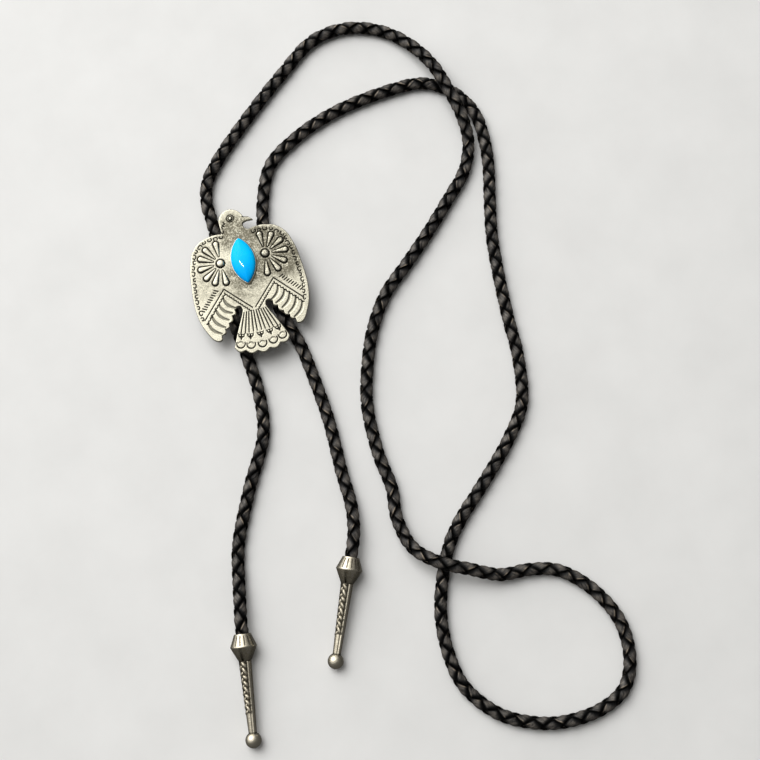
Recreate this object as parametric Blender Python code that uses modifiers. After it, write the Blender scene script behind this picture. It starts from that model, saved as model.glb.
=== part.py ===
"""Bolo tie: a cast bird medallion with a stone, on a sliding clasp that holds a braided
cord with a cast metal tip on each end. It lies face up on a flat surface.

Metres, +Z up. The origin is on the surface, under the middle of the medallion. +Y points
to the bird's head and +X to the side that its beak points to.
"""

from bisect import bisect_right
from math import acos, atan2, cos, hypot, pi, radians, sin

import bmesh
import bpy
from mathutils import Matrix, Vector

# Gap between pieces that touch
SEAT_GAP = 0.0003

# How finely round shapes are made, and where shading breaks at an edge
MERGE_DISTANCE = 0.000001
FLAT_ANGLE = radians(0.01)
SHARP_ANGLE = radians(35)
CORD_SHARP_ANGLE = radians(60)
OUTLINE_STEPS = 2
SCALLOP_STEPS = 4
TAIL_SCALLOP_STEPS = 6
FEATHER_LINE_STEPS = 5
CORNER_STEPS = 4
PETAL_SIDES = 10
COLLAR_SIDES = 16
DOME_SIDES = 14
DOME_ROWS = 8
STONE_ROWS = 12
LEAF_SIDES = 8
LEAF_ROWS = 6
RIDGE_STEPS = 3
BALL_STEPS = 8

# Cord
CORD_DIAMETER = 0.0045
CORD_POINT_SPACING = 3 * CORD_DIAMETER
CORD_RESOLUTION = 3
ROUTE_STEPS = 12

# Clasp under the medallion: a flat sleeve with a round channel for each run of the cord
CHANNEL_CLEARANCE = 0.0004
CHANNEL_SPREAD = 0.0164
CLASP_WALL = 0.0007
CLASP_LENGTH = 0.0150
CLASP_FORWARD = 0.0010
CLASP_CORNER = 0.0014
WINDOW_MARGIN = 0.0010
CHANNEL_SIDES = 20
CLASP_RUN_OUT = 0.0020

# Medallion plate
WING_SPAN = 0.0410
BIRD_LENGTH = 0.0539
PLATE_THICKNESS = 0.0016
PLATE_CHAMFER = 0.0002
SCALLOP_BULGE = 0.00045
TAIL_BULGE = 0.00085

# Stone and its bezel
STONE_LENGTH = 0.0169
STONE_WIDTH = 0.0086
STONE_GIRDLE = 0.0010
STONE_DOME = 0.0022
STONE_FORWARD = 0.0068
OVAL_POINT = 1.6
OVAL_SIDES = 36
BELOW_EQUATOR = 0.01
BEZEL_WALL = 0.00045
BEZEL_HEIGHT = 0.0011
RELIEF_ROOT = 0.0003

# Rosette of petals on each wing, and the eye
ROSETTE_ACROSS = 0.00815
ROSETTE_FORWARD = 0.00785
PETAL_COUNT = 7
PETAL_FIRST_TURN = radians(-3)
PETAL_STEP_TURN = radians(31.5)
PETAL_START = 0.0027
PETAL_END = 0.0084
PETAL_WIDTH = 0.0021
PETAL_TAPER = 0.3
PETAL_RISE = 0.0005
DOME_DIAMETER = 0.0030
DOME_RISE = 0.0011
COLLAR_DIAMETER = 0.0036
COLLAR_RISE = 0.0003
EYE_ACROSS = -0.0011
EYE_FORWARD = 0.02355
EYE_RING_DIAMETER = 0.0024
EYE_DOT_DIAMETER = 0.0013
EYE_RISE = 0.0003

# Cut lines
GROOVE_HALF_WIDTH = 0.00024
FINE_GROOVE_HALF_WIDTH = 0.00017
MOON_RADIUS = 0.0015
MOON_SWEEP = radians(75)
MOON_STEPS = 3
FEATHER_BOW = 0.0007

# Cord tips
TIP_LENGTH = 0.0384
TIP_RIM_DIAMETER = 0.0091
TIP_NECK_DIAMETER = 0.0041
TIP_SHAFT_END_DIAMETER = 0.0026
TIP_BALL_DIAMETER = 0.0055
TIP_MOUTH_WALL = 0.0003
TIP_RIM_EDGE = 0.0003
SOCKET_CLEARANCE = 0.0003
SOCKET_DEPTH = 0.0052
TIP_RIM_SHARE = 0.107
TIP_NECK_SHARE = 0.237
TIP_STEPS = 24
FLUTE_COUNT = 16
FLUTE_HALF_WIDTH = 0.00022
FLUTE_SPAN = (0.12, 0.93)
LEAF_COUNT = 9
LEAF_LENGTH = 0.0027
LEAF_WIDTH = 0.0011
LEAF_RISE = 0.0004
LEAF_SLANT = radians(-40)
LEAF_TURN = radians(-18)
LEAF_END_SHARE = 0.66
RIDGE_WIDTH = 0.0011
RIDGE_RISE = 0.0003
RIDGE_TURN = radians(48)

# Where each tip lies: its mouth on the floor plan, and its heading, turned from -Y towards -X
TIP_PLACES = {
    "tip_left": {"x": -0.0296, "y": -0.1206, "heading": radians(6.9)},
    "tip_right": {"x": 0.0126, "y": -0.1041, "heading": radians(22.1)},
}

# Outlines, as shares of half the wing span (across) and half the bird's length (along).
# The head is one-sided, so it is given whole, from its left to its right.
HEAD_BACK = [(-0.268, 0.703), (-0.268, 0.750), (-0.273, 0.818), (-0.263, 0.885), (-0.190, 0.967),
             (-0.098, 1.000), (-0.005, 0.996), (0.088, 0.959), (0.146, 0.905), (0.171, 0.863)]
BEAK = [(0.171, 0.863), (0.254, 0.848), (0.322, 0.796)]
THROAT = [(0.322, 0.796), (0.190, 0.796), (0.137, 0.774), (0.132, 0.729), (0.161, 0.696), (0.205, 0.677)]
# Right wing, from the neck round to its tip, then the notches of its scalloped inner edge
WING_EDGE = [(0.205, 0.677), (0.341, 0.696), (0.439, 0.696), (0.551, 0.681), (0.663, 0.655),
             (0.780, 0.588), (0.859, 0.503), (0.902, 0.414), (0.951, 0.273), (0.980, 0.091),
             (1.000, -0.087), (1.000, -0.262), (0.961, -0.443), (0.888, -0.581), (0.805, -0.692),
             (0.732, -0.729), (0.668, -0.722), (0.649, -0.659)]
WING_NOTCHES = [(0.649, -0.659), (0.571, -0.588), (0.483, -0.525), (0.405, -0.436), (0.337, -0.362)]
# The slot between wing and tail, the tail's side, and the notches between the tail's feathers
SLOT = [(0.337, -0.362), (0.302, -0.335), (0.263, -0.328), (0.224, -0.340), (0.205, -0.391)]
TAIL_SIDE = [(0.205, -0.391), (0.239, -0.458), (0.346, -0.622), (0.439, -0.774), (0.485, -0.865)]
TAIL_NOTCHES = [(0.485, -0.865), (0.305, -0.930), (0.107, -0.966), (-0.107, -0.966)]

# Cut lines, as the same shares: the two chevrons of the right wing, and its five feather lines
CHEVRONS = [
    {"outer": (0.878, -0.414), "peak": (0.441, -0.059), "inner": (0.029, -0.388)},
    {"outer": (0.863, -0.469), "peak": (0.439, -0.113), "inner": (0.054, -0.429)},
]
FEATHER_LINES = [
    {"top": (0.487, -0.174), "bottom": (0.324, -0.341)},
    {"top": (0.581, -0.253), "bottom": (0.391, -0.400)},
    {"top": (0.658, -0.303), "bottom": (0.476, -0.480)},
    {"top": (0.749, -0.373), "bottom": (0.562, -0.568)},
    {"top": (0.835, -0.462), "bottom": (0.645, -0.640)},
]
# The tail's feathers, each by its count from the middle one; shares of the same half sizes
TAIL_FEATHERS = range(-2, 3)
TAIL_TOP = {"along": -0.430, "pitch": 0.084, "half": 0.022}
TAIL_BOTTOM = {"along": -0.705, "pitch": 0.144, "half": 0.039}
MOON_CENTRES = [(0.0, -0.896), (0.195, -0.881), (0.366, -0.848)]

# The cord's route between the two tips, chosen by hand: x and y of its middle, and how far
# its underside is above the surface
ROUTE = [
    (-0.0283, -0.1115, 0.0022),
    (-0.0270, -0.1030, 0.0008),
    (-0.0245, -0.0909, 0.0000),
    (-0.0164, -0.0724, 0.0000),
    (-0.0073, -0.0546, 0.0000),
    (-0.0056, -0.0405, 0.0000),
    (-0.0066, -0.0270, 0.0000),
    (-0.0080, -0.0155, 0.0007),
    "left channel",
    (-0.0080, 0.0175, 0.0008),
    (-0.0080, 0.0255, 0.0000),
    (-0.0084, 0.0330, 0.0000),
    (-0.0066, 0.0405, 0.0000),
    (-0.0010, 0.0481, 0.0000),
    (0.0130, 0.0615, 0.0000),
    (0.0292, 0.0752, 0.0000),
    (0.0434, 0.0855, 0.0000),
    (0.0565, 0.0875, 0.0000),
    (0.0696, 0.0831, 0.0000),
    (0.0783, 0.0748, 0.0016),
    (0.0842, 0.0637, 0.0044),
    (0.0875, 0.0519, 0.0052),
    (0.0896, 0.0425, 0.0044),
    (0.0899, 0.0330, 0.0016),
    (0.0860, 0.0232, 0.0000),
    (0.0771, 0.0134, 0.0000),
    (0.0673, 0.0034, 0.0000),
    (0.0573, -0.0059, 0.0000),
    (0.0467, -0.0155, 0.0000),
    (0.0391, -0.0272, 0.0000),
    (0.0344, -0.0389, 0.0000),
    (0.0308, -0.0528, 0.0000),
    (0.0304, -0.0707, 0.0000),
    (0.0321, -0.0840, 0.0000),
    (0.0313, -0.0945, 0.0004),
    (0.0341, -0.1060, 0.0030),
    (0.0418, -0.1133, 0.0052),
    (0.0510, -0.1178, 0.0042),
    (0.0615, -0.1222, 0.0012),
    (0.0714, -0.1228, 0.0004),
    (0.0809, -0.1253, 0.0000),
    (0.0909, -0.1343, 0.0000),
    (0.0974, -0.1476, 0.0000),
    (0.0970, -0.1610, 0.0000),
    (0.0924, -0.1696, 0.0000),
    (0.0835, -0.1741, 0.0000),
    (0.0709, -0.1753, 0.0000),
    (0.0608, -0.1734, 0.0000),
    (0.0489, -0.1673, 0.0000),
    (0.0399, -0.1560, 0.0000),
    (0.0374, -0.1450, 0.0000),
    (0.0379, -0.1312, 0.0000),
    (0.0416, -0.1187, 0.0000),
    (0.0469, -0.1078, 0.0000),
    (0.0528, -0.1003, 0.0000),
    (0.0611, -0.0924, 0.0000),
    (0.0707, -0.0830, 0.0000),
    (0.0767, -0.0764, 0.0000),
    (0.0841, -0.0656, 0.0000),
    (0.0872, -0.0481, 0.0000),
    (0.0873, -0.0352, 0.0000),
    (0.0881, -0.0176, 0.0000),
    (0.0894, -0.0036, 0.0000),
    (0.0921, 0.0098, 0.0000),
    (0.0950, 0.0230, 0.0000),
    (0.0960, 0.0328, 0.0000),
    (0.0953, 0.0431, 0.0000),
    (0.0912, 0.0513, 0.0000),
    (0.0853, 0.0567, 0.0000),
    (0.0784, 0.0597, 0.0000),
    (0.0698, 0.0600, 0.0000),
    (0.0527, 0.0580, 0.0000),
    (0.0417, 0.0553, 0.0000),
    (0.0297, 0.0504, 0.0000),
    (0.0176, 0.0421, 0.0000),
    (0.0118, 0.0296, 0.0000),
    (0.0094, 0.0190, 0.0007),
    "right channel",
    (0.0095, -0.0162, 0.0007),
    (0.0126, -0.0258, 0.0000),
    (0.0145, -0.0381, 0.0000),
    (0.0162, -0.0549, 0.0000),
    (0.0164, -0.0751, 0.0000),
    (0.0169, -0.0860, 0.0008),
    (0.0159, -0.0945, 0.0021),
]

# Sizes that follow
CORD_RADIUS = CORD_DIAMETER / 2
CHANNEL_RADIUS = CORD_RADIUS + CHANNEL_CLEARANCE
CLASP_HEIGHT = 2 * (CHANNEL_RADIUS + CLASP_WALL)
CLASP_WIDTH = CHANNEL_SPREAD + CLASP_HEIGHT
PLATE_BOTTOM = CLASP_HEIGHT + SEAT_GAP
PLATE_TOP = PLATE_BOTTOM + PLATE_THICKNESS
SOCKET_RADIUS = CORD_RADIUS + SOCKET_CLEARANCE
TIP_MOUTH_RADIUS = SOCKET_RADIUS + TIP_MOUTH_WALL


def clear_scene():
    for old in list(bpy.data.objects):
        bpy.data.objects.remove(old)


def new_collection(name):
    collection = bpy.data.collections.new(name)
    bpy.context.scene.collection.children.link(collection)
    return collection


def new_material(name, colour, roughness, metallic):
    material = bpy.data.materials.new(name)
    material.use_nodes = True
    shader = material.node_tree.nodes["Principled BSDF"]
    shader.inputs["Base Color"].default_value = (*colour, 1.0)
    shader.inputs["Roughness"].default_value = roughness
    shader.inputs["Metallic"].default_value = metallic
    material.diffuse_color = (*colour, 1.0)
    return material


def finish_part(part, material, sharp_angle=SHARP_ANGLE):
    part.data.materials.clear()
    part.data.materials.append(material)
    part.data.shade_smooth()
    part.data.set_sharp_from_angle(angle=sharp_angle)
    return part


def hide_cutter(cutter):
    cutter.hide_render = True
    cutter.display_type = "WIRE"
    return cutter


def object_from_bmesh(name, shape, collection):
    mesh = bpy.data.meshes.new(name)
    shape.to_mesh(mesh)
    shape.free()
    made = bpy.data.objects.new(name, mesh)
    collection.objects.link(made)
    return made


def mesh_from_curve(curve_object, collection):
    """Turns a curve object into a mesh object with welded caps."""
    bpy.context.view_layer.update()
    depsgraph = bpy.context.evaluated_depsgraph_get()
    mesh = bpy.data.meshes.new_from_object(curve_object.evaluated_get(depsgraph))
    shape = bmesh.new()
    shape.from_mesh(mesh)
    bmesh.ops.remove_doubles(shape, verts=shape.verts, dist=MERGE_DISTANCE)
    bmesh.ops.recalc_face_normals(shape, faces=shape.faces)
    bpy.data.meshes.remove(mesh)
    name = curve_object.name
    place = curve_object.matrix_world.copy()
    bpy.data.objects.remove(curve_object)
    made = object_from_bmesh(name, shape, collection)
    made.matrix_world = place
    return made


def add_spline(curve, points, closed):
    spline = curve.splines.new("POLY")
    spline.points.add(len(points) - 1)
    for slot, point in zip(spline.points, points):
        slot.co = (*Vector(point).to_3d(), 1.0)
    spline.use_cyclic_u = closed


def extruded(name, outlines, thickness, collection, chamfer=0.0):
    """A flat outline, with any holes, given a thickness about its own plane."""
    curve = bpy.data.curves.new(name, "CURVE")
    curve.dimensions = "2D"
    curve.fill_mode = "BOTH"
    curve.extrude = thickness / 2 - chamfer
    curve.bevel_depth = chamfer
    curve.bevel_resolution = 0
    curve.offset = -chamfer
    for outline in outlines:
        add_spline(curve, outline, closed=True)
    made = bpy.data.objects.new(name, curve)
    collection.objects.link(made)
    return made


def rod(name, points, radius, resolution, collection):
    """A round bar through the points, with filled ends."""
    curve = bpy.data.curves.new(name, "CURVE")
    curve.dimensions = "3D"
    curve.twist_mode = "MINIMUM"
    curve.bevel_depth = radius
    curve.bevel_resolution = resolution
    curve.use_fill_caps = True
    add_spline(curve, points, closed=False)
    made = bpy.data.objects.new(name, curve)
    collection.objects.link(made)
    return made


def between(start, end, share):
    return start + (end - start) * share


def smooth(points, steps):
    """A smooth curve through the points, by the centripetal Catmull-Rom rule."""
    points = [Vector(point) for point in points]
    ends = [points[0] * 2 - points[1], *points, points[-1] * 2 - points[-2]]
    knots = [0.0]
    for start, end in zip(ends, ends[1:]):
        knots.append(knots[-1] + (end - start).length ** 0.5)

    def blend(start, end, low, high, here):
        return between(start, end, (here - knots[low]) / (knots[high] - knots[low]))

    result = []
    for i in range(1, len(ends) - 2):
        for step in range(steps):
            here = between(knots[i], knots[i + 1], step / steps)
            first = blend(ends[i - 1], ends[i], i - 1, i, here)
            second = blend(ends[i], ends[i + 1], i, i + 1, here)
            third = blend(ends[i + 1], ends[i + 2], i + 1, i + 2, here)
            early = blend(first, second, i - 1, i + 1, here)
            late = blend(second, third, i, i + 2, here)
            result.append(blend(early, late, i, i + 1, here))
    result.append(points[-1])
    return result


def evenly_spaced(points, spacing):
    """Points equally far apart, about the given spacing, along a line of many points."""
    reach = [0.0]
    for start, end in zip(points, points[1:]):
        reach.append(reach[-1] + (end - start).length)
    count = max(round(reach[-1] / spacing), 1)
    result = []
    for i in range(count + 1):
        here = reach[-1] * i / count
        low = min(bisect_right(reach, here), len(reach) - 1) - 1
        share = (here - reach[low]) / (reach[low + 1] - reach[low])
        result.append(between(points[low], points[low + 1], share))
    return result


def bowed(start, end, bulge, steps):
    """An arc from start to end that bulges to its right-hand side, without its last point."""
    start = Vector(start)
    end = Vector(end)
    side = Vector((end.y - start.y, start.x - end.x)).normalized()
    return [between(start, end, i / steps) + side * bulge * sin(pi * i / steps) for i in range(steps)]


# Medallion: shares of the wing span and of the bird's length turned into metres

def on_bird(share, mirror=1):
    across, along = share
    return Vector((mirror * across * WING_SPAN / 2, along * BIRD_LENGTH / 2))


def wing_and_tail_outline():
    """The right-hand outline, from the neck to the notch beside the tail's middle feather."""
    outline = smooth([on_bird(share) for share in WING_EDGE], OUTLINE_STEPS)[:-1]
    for start, end in zip(WING_NOTCHES, WING_NOTCHES[1:]):
        outline += bowed(on_bird(start), on_bird(end), -SCALLOP_BULGE, SCALLOP_STEPS)
    outline += smooth([on_bird(share) for share in SLOT], OUTLINE_STEPS)[:-1]
    outline += [on_bird(share) for share in TAIL_SIDE[:-1]]
    for start, end in zip(TAIL_NOTCHES[:2], TAIL_NOTCHES[1:3]):
        outline += bowed(on_bird(start), on_bird(end), -TAIL_BULGE, TAIL_SCALLOP_STEPS)
    return outline


def bird_outline():
    head = smooth([on_bird(share) for share in HEAD_BACK], OUTLINE_STEPS)[:-1]
    head += [on_bird(share) for share in BEAK[:-1]]
    head += smooth([on_bird(share) for share in THROAT], OUTLINE_STEPS)[:-1]
    right = wing_and_tail_outline()
    middle = bowed(on_bird(TAIL_NOTCHES[2]), on_bird(TAIL_NOTCHES[3]), -TAIL_BULGE, TAIL_SCALLOP_STEPS)
    left = [Vector((-point.x, point.y)) for point in reversed(right[1:])]
    return head + right + middle + left


def pointed_oval(length, width, count):
    """A pointed oval about the origin, longest along Y."""
    outline = []
    for i in range(count):
        turn = 2 * pi * i / count
        across = abs(sin(turn)) ** OVAL_POINT
        outline.append(Vector((width / 2 * across * (1 if sin(turn) > 0 else -1), length / 2 * cos(turn))))
    return outline


def bezel(cutters):
    outlines = []
    for margin in (SEAT_GAP + BEZEL_WALL, SEAT_GAP):
        outlines.append(pointed_oval(STONE_LENGTH + 2 * margin, STONE_WIDTH + 2 * margin, OVAL_SIDES))
    made = extruded("bezel_ring", outlines, BEZEL_HEIGHT + RELIEF_ROOT, cutters)
    made = mesh_from_curve(made, cutters)
    made.location = (0, STONE_FORWARD, PLATE_TOP + (BEZEL_HEIGHT - RELIEF_ROOT) / 2)
    return hide_cutter(made)


def petal(name, centre, turn, cutters):
    """A raised teardrop, round and wide at its outer end, half sunk in the plate."""
    shape = bmesh.new()
    bmesh.ops.create_uvsphere(shape, u_segments=PETAL_SIDES, v_segments=PETAL_SIDES, radius=1.0)
    head = PETAL_END - PETAL_WIDTH / 2
    for vert in shape.verts:
        along = vert.co.z
        reach = PETAL_WIDTH / 2 if along > 0 else head - PETAL_START
        girth = max(1 + min(along, 0), 0) ** PETAL_TAPER
        vert.co = Vector((
            vert.co.x * girth * PETAL_WIDTH / 2,
            head + along * reach,
            vert.co.y * girth * PETAL_RISE,
        ))
    bmesh.ops.recalc_face_normals(shape, faces=shape.faces)
    made = object_from_bmesh(name, shape, cutters)
    made.location = centre
    made.rotation_euler.z = -turn
    return hide_cutter(made)


def button(name, centre, diameter, rise, collar_diameter, collar_rise, cutters):
    """A low dome on a flat collar."""
    shape = bmesh.new()
    bmesh.ops.create_cone(shape, cap_ends=True, segments=COLLAR_SIDES,
                          radius1=collar_diameter / 2, radius2=collar_diameter / 2 - collar_rise,
                          depth=collar_rise + RELIEF_ROOT,
                          matrix=Matrix.Translation((0, 0, (collar_rise - RELIEF_ROOT) / 2)))
    collar = object_from_bmesh(name + "_collar", shape, cutters)
    collar.location = centre
    shape = bmesh.new()
    bmesh.ops.create_uvsphere(shape, u_segments=DOME_SIDES, v_segments=DOME_ROWS, radius=1.0,
                              matrix=Matrix.Diagonal((diameter / 2, diameter / 2, rise, 1)))
    dome = object_from_bmesh(name + "_dome", shape, cutters)
    dome.location = centre
    return [hide_cutter(collar), hide_cutter(dome)]


def rosettes(cutters):
    for side, mirror in (("left", -1), ("right", 1)):
        centre = Vector((mirror * ROSETTE_ACROSS, ROSETTE_FORWARD, PLATE_TOP))
        button("rosette_" + side, centre, DOME_DIAMETER, DOME_RISE, COLLAR_DIAMETER, COLLAR_RISE, cutters)
        for i in range(PETAL_COUNT):
            turn = mirror * (PETAL_FIRST_TURN + i * PETAL_STEP_TURN)
            petal(f"petal_{side}_{i + 1}", centre, turn, cutters)


def eye(cutters):
    centre = Vector((EYE_ACROSS, EYE_FORWARD, PLATE_TOP))
    button("eye", centre, EYE_DOT_DIAMETER, 2 * EYE_RISE, EYE_RING_DIAMETER, EYE_RISE, cutters)


def groove(name, points, half_width, cutters):
    """A cutter with a diamond section, which leaves a V-shaped line in the plate's top."""
    raised = [Vector((point.x, point.y, PLATE_TOP)) for point in points]
    return hide_cutter(mesh_from_curve(rod(name, raised, half_width, 0, cutters), cutters))


def wing_grooves(side, mirror, cutters):
    for i, row in enumerate(CHEVRONS):
        line = [on_bird(row[key], mirror) for key in ("outer", "peak", "inner")]
        for leg, ends in (("outer", line[:2]), ("inner", line[1:])):
            groove(f"chevron_{side}_{i + 1}_{leg}", ends, GROOVE_HALF_WIDTH, cutters)
    for i, row in enumerate(FEATHER_LINES):
        top = on_bird(row["top"], mirror)
        bottom = on_bird(row["bottom"], mirror)
        line = bowed(top, bottom, -mirror * FEATHER_BOW, FEATHER_LINE_STEPS) + [bottom]
        groove(f"feather_{side}_{i + 1}", line, GROOVE_HALF_WIDTH, cutters)


def tail_grooves(cutters):
    for feather in TAIL_FEATHERS:
        for half in (-1, 1):
            top = (feather * TAIL_TOP["pitch"] + half * TAIL_TOP["half"], TAIL_TOP["along"])
            bottom = (feather * TAIL_BOTTOM["pitch"] + half * TAIL_BOTTOM["half"], TAIL_BOTTOM["along"])
            name = f"tail_{feather + 3}_{'left' if half < 0 else 'right'}"
            groove(name, [on_bird(top), on_bird(bottom)], FINE_GROOVE_HALF_WIDTH, cutters)
        across, along = MOON_CENTRES[abs(feather)]
        centre = on_bird((across, along), 1 if feather >= 0 else -1)
        lean = atan2(centre.x, -centre.y)
        turns = [lean - pi / 2 + MOON_SWEEP * k / MOON_STEPS for k in range(-MOON_STEPS, MOON_STEPS + 1)]
        moon = [centre + Vector((cos(turn), sin(turn))) * MOON_RADIUS for turn in turns]
        groove(f"moon_{feather + 3}", moon, FINE_GROOVE_HALF_WIDTH, cutters)


def make_medallion(collection, relief, grooves, material):
    plate = extruded("medallion", [bird_outline()], PLATE_THICKNESS, collection, PLATE_CHAMFER)
    plate = mesh_from_curve(plate, collection)
    for vert in plate.data.vertices:
        vert.co.z += PLATE_BOTTOM + PLATE_THICKNESS / 2
    bezel(relief)
    rosettes(relief)
    eye(relief)
    for side, mirror in (("left", -1), ("right", 1)):
        wing_grooves(side, mirror, grooves)
    tail_grooves(grooves)
    return finish_part(plate, material)


def make_cabochon(collection, material):
    """A domed stone: a sphere spread to a pointed oval, flat below."""
    shape = bmesh.new()
    bmesh.ops.create_uvsphere(shape, u_segments=OVAL_SIDES, v_segments=STONE_ROWS, radius=1.0)
    for vert in shape.verts:
        flat = hypot(vert.co.x, vert.co.y)
        turn = atan2(vert.co.x, vert.co.y)
        across = abs(sin(turn)) ** OVAL_POINT * (1 if vert.co.x > 0 else -1)
        rise = STONE_DOME * vert.co.z if vert.co.z > -BELOW_EQUATOR else -STONE_GIRDLE
        vert.co = Vector((flat * across * STONE_WIDTH / 2, flat * cos(turn) * STONE_LENGTH / 2, rise))
    bmesh.ops.dissolve_limit(shape, angle_limit=FLAT_ANGLE, verts=shape.verts, edges=shape.edges)
    stone = object_from_bmesh("cabochon", shape, collection)
    stone.location = (0, STONE_FORWARD, PLATE_TOP + SEAT_GAP + STONE_GIRDLE)
    return finish_part(stone, material)


def rounded_box(width, height, corner):
    """A rectangle with round corners about the origin."""
    outline = []
    for quarter, (side, top) in enumerate(((1, 1), (-1, 1), (-1, -1), (1, -1))):
        centre = Vector((side * (width / 2 - corner), top * (height / 2 - corner)))
        for i in range(CORNER_STEPS + 1):
            turn = (quarter + i / CORNER_STEPS) * pi / 2
            outline.append(centre + Vector((cos(turn), sin(turn))) * corner)
    return outline


def circle(centre, radius, count):
    turns = [2 * pi * i / count for i in range(count)]
    return [centre + Vector((cos(turn), sin(turn))) * radius for turn in turns]


def make_clasp(collection, material):
    sleeve = rounded_box(CLASP_WIDTH, CLASP_HEIGHT, CLASP_CORNER)
    window_width = CHANNEL_SPREAD - 2 * (CHANNEL_RADIUS + WINDOW_MARGIN)
    window = rounded_box(window_width, CLASP_HEIGHT - 2 * WINDOW_MARGIN, WINDOW_MARGIN)
    channels = [circle(Vector((side * CHANNEL_SPREAD / 2, 0)), CHANNEL_RADIUS / cos(pi / CHANNEL_SIDES),
                       CHANNEL_SIDES) for side in (-1, 1)]
    clasp = extruded("cord_slide", [sleeve, window, *channels], CLASP_LENGTH, collection)
    clasp = mesh_from_curve(clasp, collection)
    clasp.rotation_euler.x = pi / 2
    clasp.location = (0, CLASP_FORWARD, CLASP_HEIGHT / 2)
    return finish_part(clasp, material)


# Cord tips: each is turned about its own Z axis, from the ball at the bottom to the mouth at
# the top, with the mouth at the origin and +X facing up from the surface

def tip_slope():
    """How far a tip dips when its rim and its ball both touch the surface."""
    rim_to_ball = TIP_LENGTH * (1 - TIP_RIM_SHARE) - TIP_BALL_DIAMETER / 2
    reach = hypot(TIP_RIM_DIAMETER / 2, rim_to_ball)
    return acos(TIP_BALL_DIAMETER / 2 / reach) - atan2(rim_to_ball, TIP_RIM_DIAMETER / 2)


def tip_place(place):
    """The world matrix of a tip's mouth."""
    slope = tip_slope()
    height = TIP_RIM_DIAMETER / 2 * cos(slope) + TIP_LENGTH * TIP_RIM_SHARE * sin(slope)
    back = Vector((sin(place["heading"]) * cos(slope), cos(place["heading"]) * cos(slope), sin(slope)))
    right = Vector((cos(place["heading"]), -sin(place["heading"]), 0))
    up = right.cross(back)
    turned = Matrix((up, right, back)).transposed().to_4x4()
    return Matrix.Translation((place["x"], place["y"], height)) @ turned


def tip_outside():
    """The outer profile as (radius, distance from the mouth), from the mouth to the ball's end."""
    rim = TIP_RIM_DIAMETER / 2
    rows = [
        (TIP_MOUTH_RADIUS, 0.0),
        (rim, TIP_LENGTH * TIP_RIM_SHARE),
        (rim, TIP_LENGTH * TIP_RIM_SHARE + TIP_RIM_EDGE),
        (TIP_NECK_DIAMETER / 2, TIP_LENGTH * TIP_NECK_SHARE),
    ]
    ball = TIP_BALL_DIAMETER / 2
    start = pi / 2 - acos(TIP_SHAFT_END_DIAMETER / 2 / ball)
    for i in range(BALL_STEPS + 1):
        turn = between(start, pi, i / BALL_STEPS)
        rows.append((max(ball * sin(turn), 0.0), TIP_LENGTH - ball - ball * cos(turn)))
    rows[-1] = (0.0, TIP_LENGTH)
    return rows


def tip_radius(distance):
    rows = tip_outside()
    for (near, start), (far, end) in zip(rows, rows[1:]):
        if start <= distance <= end:
            return between(near, far, (distance - start) / (end - start))
    return 0.0


def turned_tip(name, collection):
    inside = [(0.0, SOCKET_DEPTH), (SOCKET_RADIUS, SOCKET_DEPTH), (SOCKET_RADIUS, 0.0)]
    profile = inside + tip_outside()
    mesh = bpy.data.meshes.new(name)
    edges = [(i, i + 1) for i in range(len(profile) - 1)]
    mesh.from_pydata([(radius, 0, -distance) for radius, distance in profile], edges, [])
    made = bpy.data.objects.new(name, mesh)
    collection.objects.link(made)
    screw = made.modifiers.new("turned", "SCREW")
    screw.axis = "Z"
    screw.steps = TIP_STEPS
    screw.render_steps = TIP_STEPS
    screw.use_merge_vertices = True
    screw.merge_threshold = MERGE_DISTANCE
    return made


def on_tip(distance, turn, lift=0.0):
    """A point on the tip's skin, turned from its top side towards its right."""
    radius = tip_radius(distance) + lift
    return Vector((radius * cos(turn), radius * sin(turn), -distance))


def flutes(name, place, cutters):
    rim = TIP_LENGTH * TIP_RIM_SHARE
    for i in range(FLUTE_COUNT):
        turn = 2 * pi * (i + 0.5) / FLUTE_COUNT
        line = [on_tip(rim * share, turn) for share in FLUTE_SPAN]
        cutter = mesh_from_curve(rod(f"{name}_flute_{i + 1}", line, FLUTE_HALF_WIDTH, 0, cutters), cutters)
        hide_cutter(cutter).parent = place


def leaf(name, distance, turn, place, relief):
    """A slanted leaf, half sunk in the shaft."""
    shape = bmesh.new()
    size = Matrix.Diagonal((LEAF_RISE, LEAF_WIDTH / 2, LEAF_LENGTH / 2, 1))
    bmesh.ops.create_uvsphere(shape, u_segments=LEAF_SIDES, v_segments=LEAF_ROWS, radius=1.0)
    slant = Matrix.Rotation(LEAF_SLANT, 4, "X")
    seat = Matrix.Translation((tip_radius(distance), 0, -distance))
    place_on_shaft = Matrix.Rotation(turn, 4, "Z") @ seat @ slant @ size
    bmesh.ops.transform(shape, matrix=place_on_shaft, verts=shape.verts)
    made = object_from_bmesh(name, shape, relief)
    hide_cutter(made).parent = place


def ridge(name, place, relief):
    """A plain raised rib along the shaft, from the neck to the ball."""
    ends = (TIP_LENGTH * TIP_NECK_SHARE, TIP_LENGTH - TIP_BALL_DIAMETER)
    lift = RIDGE_RISE - RIDGE_WIDTH / 2
    line = [on_tip(between(*ends, i / RIDGE_STEPS), RIDGE_TURN, lift) for i in range(RIDGE_STEPS + 1)]
    made = mesh_from_curve(rod(name + "_ridge", line, RIDGE_WIDTH / 2, 1, relief), relief)
    hide_cutter(made).parent = place


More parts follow.
